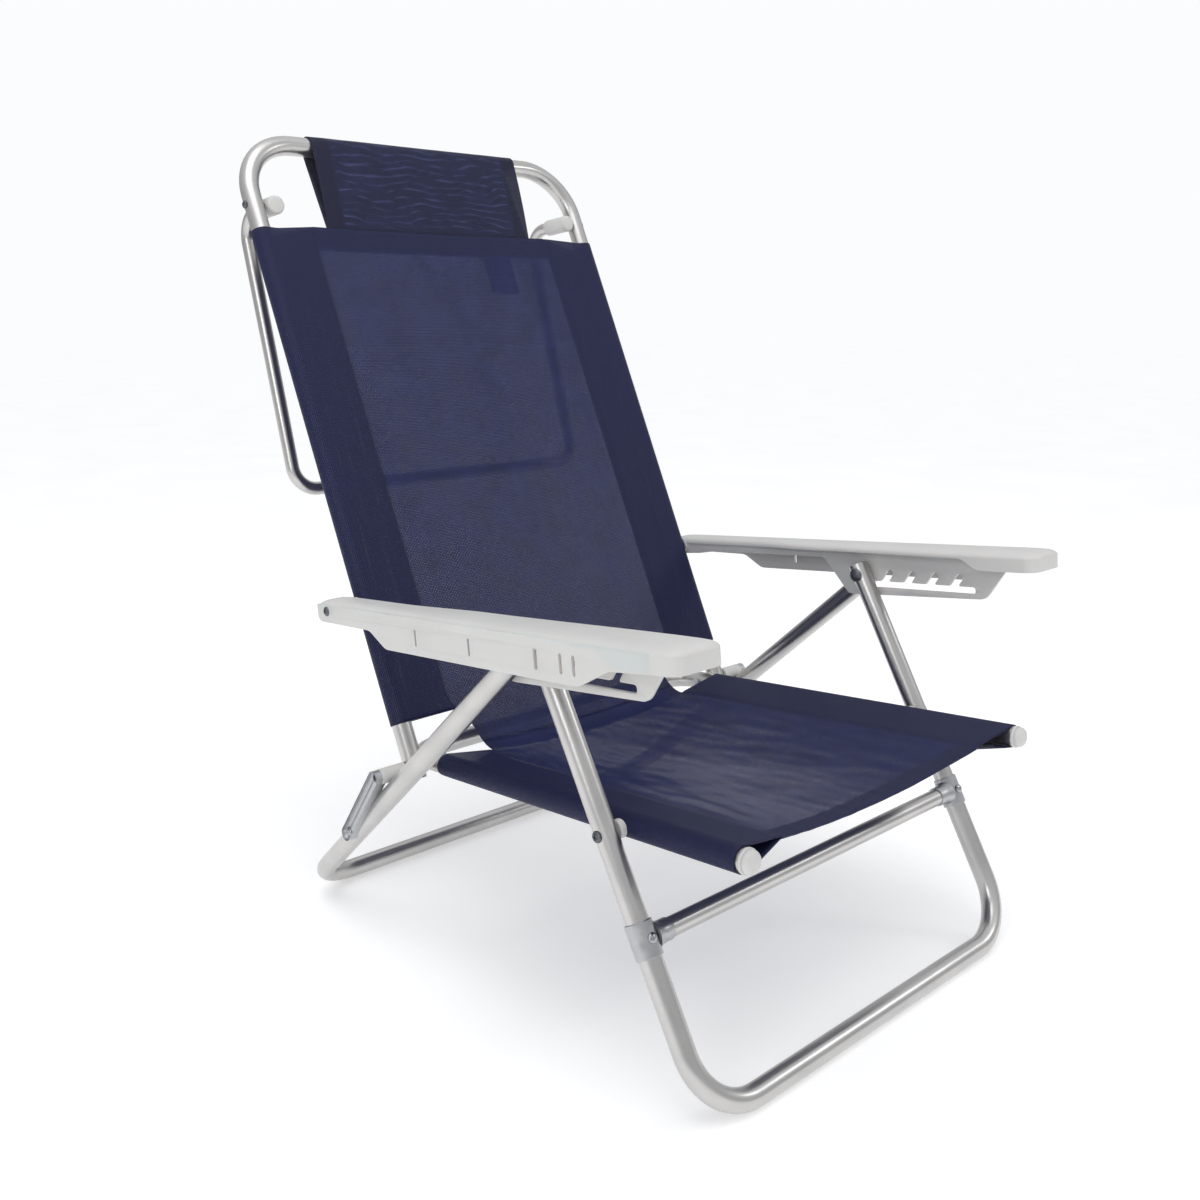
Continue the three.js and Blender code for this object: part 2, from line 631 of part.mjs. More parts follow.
// Sling: single sheets between the side tubes, with a sleeve round each tube.
function slingSection(x) {
  const section = new THREE.Shape();
  const half = SLING_T / 2;
  const bite = Math.asin(half / SLEEVE_R);
  section.absarc(x, 0, SLEEVE_R, -Math.PI + bite, Math.PI - bite, false);
  section.absarc(-x, 0, SLEEVE_R, bite, 2 * Math.PI - bite, false);
  for (const side of [1, -1]) {
    const bore = new THREE.Path();
    bore.absarc(side * x, 0, TUBE_R + CLEAR, 0, 2 * Math.PI, true);
    section.holes.push(bore);
  }
  return section;
}

function slingPanel(x, origin, way, [from, to]) {
  const panel = new THREE.ExtrudeGeometry(slingSection(x), {
    depth: to - from,
    bevelEnabled: false,
    curveSegments: 8,
  });
  return laidAlong(panel.translate(0, 0, from), origin, way);
}

// Turns a piece whose length is Z and whose width is X so that its length runs along a side-view way.
function laidAlong(geometry, origin, way) {
  const axes = new THREE.Matrix4().makeBasis(
    new THREE.Vector3(1, 0, 0),
    new THREE.Vector3(0, way[1], -way[0]),
    new THREE.Vector3(0, ...way),
  );
  return geometry.applyMatrix4(axes).translate(0, ...origin);
}

// The strip's side view: two straight runs that meet at the seat and back pivot.
function slingFold() {
  const outline = new THREE.Shape();
  const half = SLING_T / 2;
  const runs = [BACK_WAY, SEAT_WAY].map((way) => ({ end: step(PIVOT_B, way, FOLD_REACH), way }));
  const lifted = (at, way, side) => step(at, [-way[1], way[0]], side * half);
  const [back, seat] = runs;
  const bisector = unit([0, 0], [BACK_WAY[0] + SEAT_WAY[0], BACK_WAY[1] + SEAT_WAY[1]]);
  outline.moveTo(...lifted(back.end, back.way, -1));
  outline.lineTo(...lifted(back.end, back.way, 1));
  outline.lineTo(...step(PIVOT_B, bisector, half));
  outline.lineTo(...lifted(seat.end, seat.way, -1));
  outline.lineTo(...lifted(seat.end, seat.way, 1));
  outline.lineTo(...step(PIVOT_B, bisector, -half));
  const strip = new THREE.ExtrudeGeometry(outline, { depth: 2 * FOLD_HALF, bevelEnabled: false });
  return toSideView(strip, -FOLD_HALF);
}

// Clears the strip's place out of a panel, between its two sleeves.
function foldRoom(origin, way) {
  const reach = FOLD_REACH + CLEAR;
  const room = new THREE.BoxGeometry(2 * (FOLD_HALF + CLEAR), 4 * SLING_T, 2 * reach);
  return laidAlong(room, origin, way);
}

function addSlings() {
  const back = slingPanel(BACK_X, PIVOT_B, BACK_WAY, BACK_SLING);
  const armHoles = hole(BACK_X - 15, BACK_X + 15, SEAT_SPACER_R + 1, PIVOT_A);
  place("back_sling", cut(back, foldRoom(PIVOT_B, BACK_WAY), ...armHoles), SLING);
  const seat = slingPanel(SEAT_X, PIVOT_B, SEAT_WAY, SEAT_SLING);
  const seatHoles = hole(SEAT_X - 24, SEAT_X + 15, SEAT_SPACER_R + 1, PIVOT_S);
  place("seat_sling", cut(seat, foldRoom(PIVOT_B, SEAT_WAY), ...seatHoles), SLING);
  place("sling_fold", slingFold(), SLING);
}

// The head pillow: a padded mesh band folded over the top bar and hanging in front.
const PILLOW_W = 306;
const PILLOW_DROP = 106;

function headPillow() {
  const outline = new THREE.Shape();
  const around = TUBE_R + 2;
  outline.absarc(0, 0, around, -0.4, Math.PI + 0.4, false);
  outline.lineTo(-3, -PILLOW_DROP);
  outline.lineTo(2, -PILLOW_DROP);
  const bore = new THREE.Path();
  bore.absarc(0, 0, TUBE_R + CLEAR, 0, 2 * Math.PI, true);
  outline.holes.push(bore);
  const band = new THREE.ExtrudeGeometry(outline, {
    depth: PILLOW_W,
    bevelEnabled: false,
    curveSegments: 8,
  });
  // drawn as (behind the back, up the back) and extruded across the chair
  const axes = new THREE.Matrix4().makeBasis(
    new THREE.Vector3(0, BACK_WAY[1], -BACK_WAY[0]),
    new THREE.Vector3(0, ...BACK_WAY),
    new THREE.Vector3(1, 0, 0),
  );
  return band.applyMatrix4(axes).translate(-PILLOW_W / 2, ...BACK_TOP);
}

// A small plain tab sewn behind the back sling's top hem.
function hemTab() {
  const tab = new THREE.BoxGeometry(46, 1, 50).translate(92, SLING_T + CLEAR, 590);
  return laidAlong(tab, PIVOT_B, BACK_WAY);
}

place("front_leg_frame", frontLegs(), ALUMINIUM);
place("rear_leg_frame", rearLegs(), ALUMINIUM);
place("seat_frame", seatFrame(), ALUMINIUM);
place("back_frame", backFrame(), ALUMINIUM);
place("front_brace", frontBrace(), ALUMINIUM);
pair("brace_clamp", legClamp(), ALUMINIUM);
pair("clamp_rivet", clampRivetHeaded(), BRIGHT_STEEL);
addTopPins();
addSeatPivots();
addRearPivots();
addSeatPlugs();
addArmrests();
addBail();
addSlings();
place("head_pillow", headPillow(), SLING);
place("hem_tab", hemTab(), LABEL);

export default chair;
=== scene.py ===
import json
from math import acos, cos, pi, radians, sin, tan

import bpy
from mathutils import Matrix, Vector, noise


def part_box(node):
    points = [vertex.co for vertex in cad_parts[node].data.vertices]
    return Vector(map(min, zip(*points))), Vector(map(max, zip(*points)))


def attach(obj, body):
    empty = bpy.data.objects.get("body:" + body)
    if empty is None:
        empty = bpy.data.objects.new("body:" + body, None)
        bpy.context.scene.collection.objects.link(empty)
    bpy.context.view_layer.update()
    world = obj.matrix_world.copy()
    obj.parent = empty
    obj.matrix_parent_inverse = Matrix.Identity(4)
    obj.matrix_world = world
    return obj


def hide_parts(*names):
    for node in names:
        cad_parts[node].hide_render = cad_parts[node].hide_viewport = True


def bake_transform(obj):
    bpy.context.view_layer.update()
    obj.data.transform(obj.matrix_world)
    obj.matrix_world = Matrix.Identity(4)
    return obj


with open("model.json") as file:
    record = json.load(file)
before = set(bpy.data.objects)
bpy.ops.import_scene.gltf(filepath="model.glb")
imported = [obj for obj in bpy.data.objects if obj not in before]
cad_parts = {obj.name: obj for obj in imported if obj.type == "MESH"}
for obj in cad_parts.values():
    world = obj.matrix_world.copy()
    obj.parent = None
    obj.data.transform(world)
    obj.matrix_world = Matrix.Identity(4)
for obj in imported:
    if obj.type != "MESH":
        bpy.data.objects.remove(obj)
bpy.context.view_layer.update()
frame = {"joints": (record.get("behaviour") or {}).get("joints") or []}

# The studio: a pale floor under broad, soft lamps. The camera stands off the sitter's front
# right corner, a little above the armrests, and looks across the chair.
bpy.ops.object.select_all(action="DESELECT")
bpy.ops.object.camera_add(
    location=(-0.9028, -0.9762, 0.687),
    rotation=(radians(76.25), 0, radians(-42.3)),
)
camera = bpy.context.object
camera.data.lens = 35.36
bpy.context.scene.camera = camera


def linear(code):
    """An sRGB hex colour as linear red, green, blue and alpha."""
    shares = [int(code[i:i + 2], 16) / 255 for i in (1, 3, 5)]
    return [v / 12.92 if v <= 0.04045 else ((v + 0.055) / 1.055) ** 2.4 for v in shares] + [1]


def new_material(name):
    """An empty node material."""
    material = bpy.data.materials.new(name)
    material.use_nodes = True
    material.node_tree.nodes.clear()
    return material


def add(material, kind, inputs=None, **settings):
    """Adds a node: an input is a number or colour to set, or another node's output to link."""
    tree = material.node_tree
    made = tree.nodes.new("ShaderNode" + kind)
    for key, value in settings.items():
        setattr(made, key, value)
    for key, value in (inputs or {}).items():
        if isinstance(value, bpy.types.NodeSocket):
            tree.links.new(value, made.inputs[key])
        else:
            made.inputs[key].default_value = value
    return made


def matte_floor():
    """Painted matte board: even and pale, with a barely seen mottle from the roller."""
    material = new_material("painted_board")
    place = add(material, "TexCoord").outputs["Object"]
    mottle = add(material, "TexNoise", {"Vector": place, "Scale": 3.0, "Detail": 2.0})
    tone = add(
        material, "MapRange",
        {0: mottle.outputs[0], 1: 0.3, 2: 0.7, 3: 0.86, 4: 0.9},
    )
    grey = add(material, "CombineColor", {0: tone.outputs[0], 1: tone.outputs[0], 2: tone.outputs[0]})
    board = add(
        material, "BsdfPrincipled",
        {
            "Base Color": grey.outputs[0], "Roughness": 0.9, "Specular IOR Level": 0.1,
            "Emission Color": linear("#ffffff"), "Emission Strength": 0.34,
        },
    )
    add(material, "OutputMaterial", {"Surface": board.outputs[0]})
    return material


bpy.ops.object.select_all(action="DESELECT")
bpy.ops.mesh.primitive_plane_add(size=40, location=(0, 0, -0.0005))
floor = bpy.context.object
floor.name = "floor"
floor.data.materials.append(matte_floor())


def softbox(name, location, target, size, power):
    """A square lamp that faces the target."""
    bpy.ops.object.select_all(action="DESELECT")
    bpy.ops.object.light_add(type="AREA", location=location)
    lamp = bpy.context.object
    lamp.name = name
    lamp.data.size = size
    lamp.data.energy = power
    way = Vector(target) - Vector(location)
    lamp.rotation_euler = way.to_track_quat("-Z", "Y").to_euler()


softbox("overhead_softbox", (-0.5, -0.3, 2.4), (0, 0, 0.3), 1.6, 13)
softbox("left_softbox", (-2.4, -0.9, 1.5), (0, 0, 0.4), 1.0, 9)
softbox("strip_softbox", (1.9, -1.6, 1.7), (0, 0, 0.4), 0.5, 5)

world = bpy.data.worlds.new("white_room")
world.use_nodes = True
world.node_tree.nodes.clear()
outlook = add(world, "TexCoord").outputs["Generated"]
upward = add(world, "SeparateXYZ", {0: outlook}).outputs["Z"]
rise = add(world, "MapRange", {0: upward, 1: -0.1, 2: 0.8, 3: 0.34, 4: 0.84}).outputs[0]
lit = add(world, "Background", {"Strength": rise, "Color": linear("#fafbfd")})
seen = add(world, "Background", {"Color": linear("#fbfcfd")})
ray = add(world, "LightPath").outputs["Is Camera Ray"]
either = add(world, "MixShader", {0: ray, 1: lit.outputs[0], 2: seen.outputs[0]})
add(world, "OutputWorld", {"Surface": either.outputs[0]})
bpy.context.scene.world = world
bpy.context.scene.view_settings.view_transform = "Standard"

# Front legs: one 22 mm aluminium tube, drawn, bent to a U and anodised. The ground bar is the
# bottom of the U, and each end is cut square just above the armrest pin.
joint_at = {joint["name"]: Vector(joint["pos_m"]) for joint in frame["joints"]}
pin = joint_at["rear_leg_fold"]
seat_pivot = joint_at["fold"]
back_pivot = joint_at["recline"]
bail_pivot = joint_at["bail_swing"]
link_foot = Vector((0, *joint_at["link_fold_left"].yz))
arm_pivot = Vector((0, *joint_at["armrest_fold_left"].yz))

tube_r = 0.011
tube_wall = 0.0014
front_half = 0.2458
leg_bend = 0.060
leg_past_pin = 0.012


def bent_tube(name, corners, bend, radius, wall):
    """A ring extruded along each straight run and spun round each corner, then given its wall."""
    sides = 40
    corners = [Vector(corner) for corner in corners]
    way = (corners[1] - corners[0]).normalized()
    bpy.ops.object.select_all(action="DESELECT")
    bpy.ops.mesh.primitive_circle_add(
        vertices=sides, radius=radius, location=corners[0],
        rotation=way.to_track_quat("Z", "Y").to_euler(),
    )
    piece = bpy.context.object
    piece.name = name
    bpy.ops.object.transform_apply()
    bpy.ops.object.mode_set(mode="EDIT")
    bpy.ops.mesh.select_all(action="SELECT")
    at = corners[0]
    for before, corner, after in zip(corners, corners[1:], corners[2:]):
        way_in = (corner - before).normalized()
        way_out = (after - corner).normalized()
        turn = way_in.angle(way_out)
        start = corner - way_in * bend * tan(turn / 2)
        axis = way_in.cross(way_out).normalized()
        centre = start + axis.cross(way_in) * bend
        bpy.ops.mesh.extrude_region_move(TRANSFORM_OT_translate={"value": start - at})
        steps = max(4, round(turn / radians(6)))
        bpy.ops.mesh.spin(steps=steps, angle=-turn, center=centre, axis=axis)
        at = corner + way_out * bend * tan(turn / 2)
    bpy.ops.mesh.extrude_region_move(TRANSFORM_OT_translate={"value": corners[-1] - at})
    bpy.ops.object.mode_set(mode="OBJECT")
    mark_draw_lines(piece, sides, radius)
    wall_in(piece, wall)
    return piece


def mark_draw_lines(piece, sides, radius):
    """Gives each point its place round the tube and along it, so that draw lines follow the bends."""
    points = piece.data.vertices
    rings = len(points) // sides
    middles = []
    for ring in range(rings):
        corners = [points[ring * sides + k].co for k in range(sides)]
        middles.append(sum(corners, Vector()) / sides)
    drawn = piece.data.attributes.new("drawn", "FLOAT_VECTOR", "POINT")
    along = 0.0
    for ring in range(rings):
        along += (middles[ring] - middles[max(0, ring - 1)]).length
        for k in range(sides):
            turn = 2 * pi * k / sides
            drawn.data[ring * sides + k].vector = (radius * cos(turn), radius * sin(turn), along)


def wall_in(piece, wall):
    """Merges a skin's doubles, turns it outwards and thickens it inwards."""
    bpy.ops.object.mode_set(mode="EDIT")
    bpy.ops.mesh.select_all(action="SELECT")
    bpy.ops.mesh.remove_doubles(threshold=1e-6)
    bpy.ops.mesh.normals_make_consistent(inside=False)
    bpy.ops.object.mode_set(mode="OBJECT")
    skin = piece.modifiers.new("wall", "SOLIDIFY")
    skin.thickness = wall
    skin.offset = -1
    bpy.ops.object.modifier_apply(modifier=skin.name)
    bpy.ops.object.shade_smooth_by_angle(angle=radians(40))


def drawn_aluminium():
    """Anodised aluminium tube: satin grey metal with faint lines drawn out along its length."""
    material = new_material("anodised_drawn_aluminium")
    place = add(material, "Attribute", attribute_name="drawn").outputs["Vector"]
    stretch = add(material, "Mapping", {"Vector": place, "Scale": (1, 1, 0.012)})
    lines = add(
        material, "TexNoise",
        {"Vector": stretch.outputs[0], "Scale": 1400, "Detail": 3.0, "Roughness": 0.6},
    )
    cloud = add(material, "TexNoise", {"Vector": place, "Scale": 22, "Detail": 2.0})
    tone = add(
        material, "Mix",
        {0: cloud.outputs[0], 6: linear("#bab9b8"), 7: linear("#d3d1cf")},
        data_type="RGBA",
    )
    matt = add(material, "MapRange", {0: lines.outputs[0], 1: 0.3, 2: 0.7, 3: 0.27, 4: 0.36})
    ridge = add(material, "Bump", {"Height": lines.outputs[0], "Distance": 0.00004, "Strength": 0.35})
    metal = add(
        material, "BsdfPrincipled",
        {
            "Base Color": tone.outputs[2], "Metallic": 1.0,
            "Roughness": matt.outputs[0], "Normal": ridge.outputs[0],
        },
    )
    add(material, "OutputMaterial", {"Surface": metal.outputs[0]})
    return material


def u_corners(end, bend_point, half):
    """The corners of a U: down one side, across, and up the other."""
    side = [Vector((half, end.y, end.z)), Vector((half, bend_point.y, bend_point.z))]
    return side + [Vector((-p.x, p.y, p.z)) for p in reversed(side)]


aluminium = drawn_aluminium()
front_way = (seat_pivot - pin).normalized()
front_foot = pin + front_way * ((pin.z - tube_r) / -front_way.z)
front_legs = bent_tube(
    "front_legs", u_corners(pin - front_way * leg_past_pin, front_foot, front_half),
    leg_bend, tube_r, tube_wall,
)
front_legs.data.materials.append(aluminium)
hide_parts("front_leg_frame")
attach(front_legs, "front_legs")

# Rear legs: the same tube bent to a wider U. They cross outside the front legs at the pin and
# run down and back to their own ground bar.
rear_half = 0.2759
rear_bend = 0.060
rear_way = (link_foot - pin).normalized()
rear_foot = pin + rear_way * ((pin.z - tube_r) / -rear_way.z)
rear_legs = bent_tube(
    "rear_legs", u_corners(pin - rear_way * leg_past_pin, rear_foot, rear_half),
    rear_bend, tube_r, tube_wall,
)
rear_legs.data.materials.append(aluminium)
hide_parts("rear_leg_frame")
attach(rear_legs, "rear_legs")

# Seat frame: a U of the same tube, open at the front and closed by its crossbar at the rear.
# Its sides run inside the seat's fabric sleeves.
seat_half = 0.2165
seat_bend = 0.036
seat_reach = 0.4517
crossbar_behind = 0.047
seat_way = Vector((0, -cos(radians(5.53)), sin(radians(5.53))))
seat_front = back_pivot + seat_way * seat_reach
seat_tubes = bent_tube(
    "seat_tubes", u_corners(seat_front, back_pivot - seat_way * crossbar_behind, seat_half),
    seat_bend, tube_r, tube_wall,
)
seat_tubes.data.materials.append(aluminium)
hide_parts("seat_frame")
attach(seat_tubes, "seat")

# Back frame: an inverted U with wide, round top corners. Its feet are cut square just below the
# rear pivots.
back_half = 0.243
back_bend = 0.068
back_reach = 0.7445
back_foot = 0.014
back_way = (bail_pivot - back_pivot).normalized()
back_tubes = bent_tube(
    "back_tubes",
    u_corners(back_pivot - back_way * back_foot, back_pivot + back_way * back_reach, back_half),
    back_bend, tube_r, tube_wall,
)
back_tubes.data.materials.append(aluminium)
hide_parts("back_frame")
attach(back_tubes, "back")

# Rear bail: a thinner tube that hangs behind the back. Its two ends are bent forward into
# white plastic caps, which turn on a screw through each back tube.
bail_half = 0.2206
bail_r = 0.008
bail_bend = 0.028
bail_knee = Vector((0, 0.4093, 0.797))
bail_foot = Vector((0, 0.3181, 0.4768))
bail_way = (bail_knee - bail_pivot).normalized()
bail_side = [
    Vector((bail_half, p.y, p.z)) for p in (bail_pivot + bail_way * bail_r, bail_knee, bail_foot)
]
bail_wall = 0.0012
bail_tube = bent_tube(
    "bail_tube", bail_side + [Vector((-p.x, p.y, p.z)) for p in reversed(bail_side)],
    bail_bend, bail_r, bail_wall,
)
bail_tube.data.materials.append(aluminium)
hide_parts("support_bail")
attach(bail_tube, "bail")

# Front brace: a slightly thinner tube between the front legs. At each end a pressed aluminium
# wrap grips the leg and the brace, and one rivet goes through the wrap and the leg.
brace_r = 0.0095
brace_end = 0.2300
brace_share = 0.624
wrap_half = 0.016
wrap_r = 0.0128
brace_at = pin.lerp(front_foot, brace_share)
brace = bent_tube(
    "brace", [brace_at - Vector((brace_end, 0, 0)), brace_at + Vector((brace_end, 0, 0))],
    leg_bend, brace_r, tube_wall,
)
brace.data.materials.append(aluminium)
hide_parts("front_brace")
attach(brace, "front_legs")


def turned(name, profile, at, way, sides=32):
    """A ring drawn out step by step and widened or narrowed at each, as on a lathe.
    The profile is a list of (distance along the axis, radius); an open end is filled flat."""
    (distance, radius), *steps = profile
    bpy.ops.object.select_all(action="DESELECT")
    bpy.ops.mesh.primitive_circle_add(vertices=sides, radius=radius, location=(0, 0, distance))
    piece = bpy.context.object
    piece.name = name
    bpy.ops.object.transform_apply()
    bpy.ops.object.mode_set(mode="EDIT")
    bpy.ops.mesh.select_all(action="SELECT")
    for next_distance, next_radius in steps:
        bpy.ops.mesh.extrude_region_move(
            TRANSFORM_OT_translate={"value": (0, 0, next_distance - distance)}
        )
        share = next_radius / radius
        bpy.ops.transform.resize(value=(share, share, 1))
        distance, radius = next_distance, next_radius
    bpy.ops.mesh.select_all(action="SELECT")
    bpy.ops.mesh.remove_doubles(threshold=1e-6)
    bpy.ops.mesh.fill_holes(sides=0)
    bpy.ops.mesh.select_all(action="SELECT")
    bpy.ops.mesh.normals_make_consistent(inside=False)
    bpy.ops.object.mode_set(mode="OBJECT")
    piece.matrix_world = Matrix.Translation(at) @ Vector(way).to_track_quat("Z", "Y").to_matrix().to_4x4()
    bpy.ops.object.transform_apply()
    bpy.ops.object.shade_smooth_by_angle(angle=radians(35))
    return piece


def joined(name, pieces):
    """Several parts of one moulding or pressing as one object."""
    bpy.ops.object.select_all(action="DESELECT")
    for piece in pieces:
        piece.select_set(True)
    bpy.context.view_layer.objects.active = pieces[0]
    bpy.ops.object.join()
    pieces[0].name = name
    return pieces[0]


def mirrored(piece, name):
    """The same piece for the sitter's right, with a mesh of its own."""
    bpy.ops.object.select_all(action="DESELECT")
    piece.select_set(True)
    bpy.context.view_layer.objects.active = piece
    bpy.ops.object.duplicate()
    other = bpy.context.object
    other.name = name
    other.data.transform(Matrix.Scale(-1, 4, (1, 0, 0)))
    other.data.flip_normals()
    return other


def fit_pair(piece, node, material, body, body_right=None):
    """Finishes a left piece and its mirror image, each standing for its own CAD node."""
    name = piece.name
    piece.data.materials.clear()
    piece.data.materials.append(material)
    other = mirrored(piece, name + "_right")
    piece.name = name + "_left"
    for part, side, rides in ((piece, "left", body), (other, "right", body_right or body)):
        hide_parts(f"{node}_{side}")
        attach(part, rides)


def pressed_aluminium():
    """Pressed aluminium strip: a duller, cloudier grey than the tube."""
    material = new_material("pressed_aluminium")
    place = add(material, "TexCoord").outputs["Object"]
    cloud = add(material, "TexNoise", {"Vector": place, "Scale": 90, "Detail": 4.0})
    grain = add(material, "TexNoise", {"Vector": place, "Scale": 1500, "Detail": 2.0})
    tone = add(
        material, "Mix",
        {0: cloud.outputs[0], 6: linear("#a9abae"), 7: linear("#c6c7c9")},
        data_type="RGBA",
    )
    matt = add(material, "MapRange", {0: cloud.outputs[0], 1: 0.3, 2: 0.7, 3: 0.3, 4: 0.46})
    pits = add(material, "Bump", {"Height": grain.outputs[0], "Distance": 0.00003, "Strength": 0.3})
    metal = add(
        material, "BsdfPrincipled",
        {
            "Base Color": tone.outputs[2], "Metallic": 1.0,
            "Roughness": matt.outputs[0], "Normal": pits.outputs[0],
        },
    )
    add(material, "OutputMaterial", {"Surface": metal.outputs[0]})
    return material


pressed = pressed_aluminium()
leg_middle = Vector((front_half, brace_at.y, brace_at.z))
wrap = bent_tube(
    "wrap", [leg_middle - front_way * wrap_half, leg_middle + front_way * wrap_half],
    leg_bend, wrap_r, 0.0013,
)
wrap_edge = wrap.modifiers.new("edge", "BEVEL")
wrap_edge.width, wrap_edge.segments = 0.0004, 2
bpy.ops.object.modifier_apply(modifier=wrap_edge.name)
neck = turned(
    "neck",
    [(0.0098, 0.0134), (0.0125, 0.0128), (0.0160, 0.0112), (0.0200, 0.0107), (0.0290, 0.0106),
     (0.0300, 0.0101), (0.0300, 0.0096), (0.0098, 0.0096), (0.0098, 0.0134)],
    leg_middle, (-1, 0, 0),
)
fit_pair(joined("brace_wrap", [wrap, neck]), "brace_clamp", pressed, "front_legs")

# Rivets, nuts and pin heads: zinc-plated steel, pressed round. One rivet pins each wrap, one
# pins each link to its rear leg, and a domed head closes each armrest pin.
def plated_steel():
    """Zinc-plated steel: bright, slightly bluish metal, a little uneven where it was pressed."""
    material = new_material("zinc_plated_steel")
    place = add(material, "TexCoord").outputs["Object"]
    cloud = add(material, "TexNoise", {"Vector": place, "Scale": 320, "Detail": 3.0})
    tone = add(
        material, "Mix",
        {0: cloud.outputs[0], 6: linear("#8f9297"), 7: linear("#c2c5c9")},
        data_type="RGBA",
    )
    matt = add(material, "MapRange", {0: cloud.outputs[0], 1: 0.3, 2: 0.7, 3: 0.22, 4: 0.38})
    metal = add(
        material, "BsdfPrincipled",
        {"Base Color": tone.outputs[2], "Metallic": 1.0, "Roughness": matt.outputs[0]},
    )
    add(material, "OutputMaterial", {"Surface": metal.outputs[0]})
    return material


def domed(reach, radius, height):
    """The profile of a low dome that starts at a distance along the axis."""
    steps = 6
    arc = [(reach + height * sin(t), radius * cos(t)) for t in (k * pi / 2 / steps for k in range(steps))]
    return arc + [(reach + height, radius * 0.08)]


plated = plated_steel()
leg_front = Vector((0, front_way.z, -front_way.y))
rivet = turned(
    "wrap_rivet",
    [(-wrap_r - 0.0016, 0.0040), (-wrap_r, 0.0044), (-wrap_r, 0.0024), (wrap_r, 0.0024)]
    + domed(wrap_r, 0.0050, 0.0024),
    leg_middle, leg_front,
)
fit_pair(rivet, "clamp_rivet", plated, "front_legs")

outer_head = rear_half + tube_r
pin_r = 0.0040
pin_outer_start, pin_inner_end = 0.2626, 0.2582
pin_outer = turned(
    "pin_head", [(pin_outer_start, pin_r), (outer_head, pin_r)] + domed(outer_head, 0.0074, 0.0026),
    pin, (1, 0, 0),
)
fit_pair(pin_outer, "armrest_pin_outer", plated, "rear_legs")

link_out = rear_half + tube_r + 0.0031
link_rivet = turned(
    "link_pin",
    [(rear_half - tube_r - 0.0016, 0.0030), (rear_half - tube_r, 0.0044),
     (rear_half - tube_r, 0.0024), (link_out, 0.0024)] + domed(link_out, 0.0052, 0.0022),
    link_foot, (1, 0, 0),
)
fit_pair(link_rivet, "link_rivet", plated, "rear_legs")

seat_inside = seat_half - tube_r
for label, node, at, body in (
    ("seat_nut", "seat_pivot_nut", seat_pivot, "front_legs"),
    ("rear_nut", "rear_pivot_nut", back_pivot, "rear_pivots"),
):
    nut = turned(
        label,
        [(seat_inside - 0.0052, 0.0034), (seat_inside - 0.0052, 0.0050), (seat_inside - 0.0046, 0.0058),
         (seat_inside - 0.0006, 0.0058), (seat_inside, 0.0052), (seat_inside, 0.0034),
         (seat_inside - 0.0052, 0.0034)],
        at, (1, 0, 0), sides=6,
    )
    fit_pair(nut, node, plated, body)

rear_bolt = turned(
    "rear_bolt",
    [(seat_inside - 0.0056, 0.0030), (back_half + tube_r, 0.0030)]
    + domed(back_half + tube_r, 0.0054, 0.0012),
    back_pivot, (1, 0, 0),
)
fit_pair(rear_bolt, "rear_pivot_bolt", plated, "rear_pivots")

# Screws: blackened steel with a domed head and a cross recess. They hold the seat pivots, the
# links, the armrests and the bail; a plain dark head closes each armrest pin on the inside.
def blackened_steel():
    """Blackened steel screw: nearly black, with a soft shine and paler rubbed spots."""
    material = new_material("blackened_steel")
    place = add(material, "TexCoord").outputs["Object"]
    rub = add(material, "TexNoise", {"Vector": place, "Scale": 500, "Detail": 4.0})
    tone = add(
        material, "Mix",
        {0: rub.outputs[0], 6: linear("#3c3d42"), 7: linear("#85878e")},
        data_type="RGBA",
    )
    matt = add(material, "MapRange", {0: rub.outputs[0], 1: 0.3, 2: 0.7, 3: 0.3, 4: 0.5})
    metal = add(
        material, "BsdfPrincipled",
        {"Base Color": tone.outputs[2], "Metallic": 0.85, "Roughness": matt.outputs[0]},
    )
    add(material, "OutputMaterial", {"Surface": metal.outputs[0]})
    return material


def screw(name, start, head_at, head_r, head_h, at, shank_r=0.003):
    """A screw along X: shank, domed head, and a cross cut into the dome."""
    piece = turned(
        name, [(start, shank_r), (head_at, shank_r)] + domed(head_at, head_r, head_h), at, (1, 0, 0),
    )
    for length, width in ((head_r * 1.15, head_r * 0.26), (head_r * 0.26, head_r * 1.15)):
        bpy.ops.object.select_all(action="DESELECT")
        bpy.ops.mesh.primitive_cube_add(size=1, location=(head_at + head_h, at.y, at.z))
        blade = bpy.context.object
        blade.scale = (head_h * 1.1, length, width)
        bpy.ops.object.transform_apply()
        recess = piece.modifiers.new("recess", "BOOLEAN")
        recess.object = blade
        recess.operation = "DIFFERENCE"
        bpy.ops.object.select_all(action="DESELECT")
        piece.select_set(True)
        bpy.context.view_layer.objects.active = piece
        bpy.ops.object.modifier_apply(modifier=recess.name)
        bpy.data.objects.remove(blade)
    return piece


blackened = blackened_steel()
gap = 0.0003
bolt_bore = 0.0033
link_x = rear_half + tube_r + 0.0005
link_t = 0.0026
link_start = 0.2558
arm_out = 0.2934
fit_pair(
    screw("seat_screw", seat_inside - 0.0058, front_half + tube_r + gap, 0.0056, 0.0026, seat_pivot),
    "seat_pivot_bolt", blackened, "front_legs",
)
fit_pair(
    screw("link_screw", link_start + 0.002, link_x + link_t + gap, 0.0056, 0.0026, back_pivot),
    "link_bolt", blackened, "link_left", "link_right",
)
fit_pair(
    screw("arm_screw", back_half - tube_r - 0.0015, arm_out + gap, 0.0052, 0.0024, arm_pivot),
    "armrest_screw", blackened, "armrest_screw_left", "armrest_screw_right",
)
fit_pair(
    screw("bail_screw", bail_half - bail_r, back_half + tube_r + gap, 0.0046, 0.0022, bail_pivot),
    "bail_screw", blackened, "back",
)
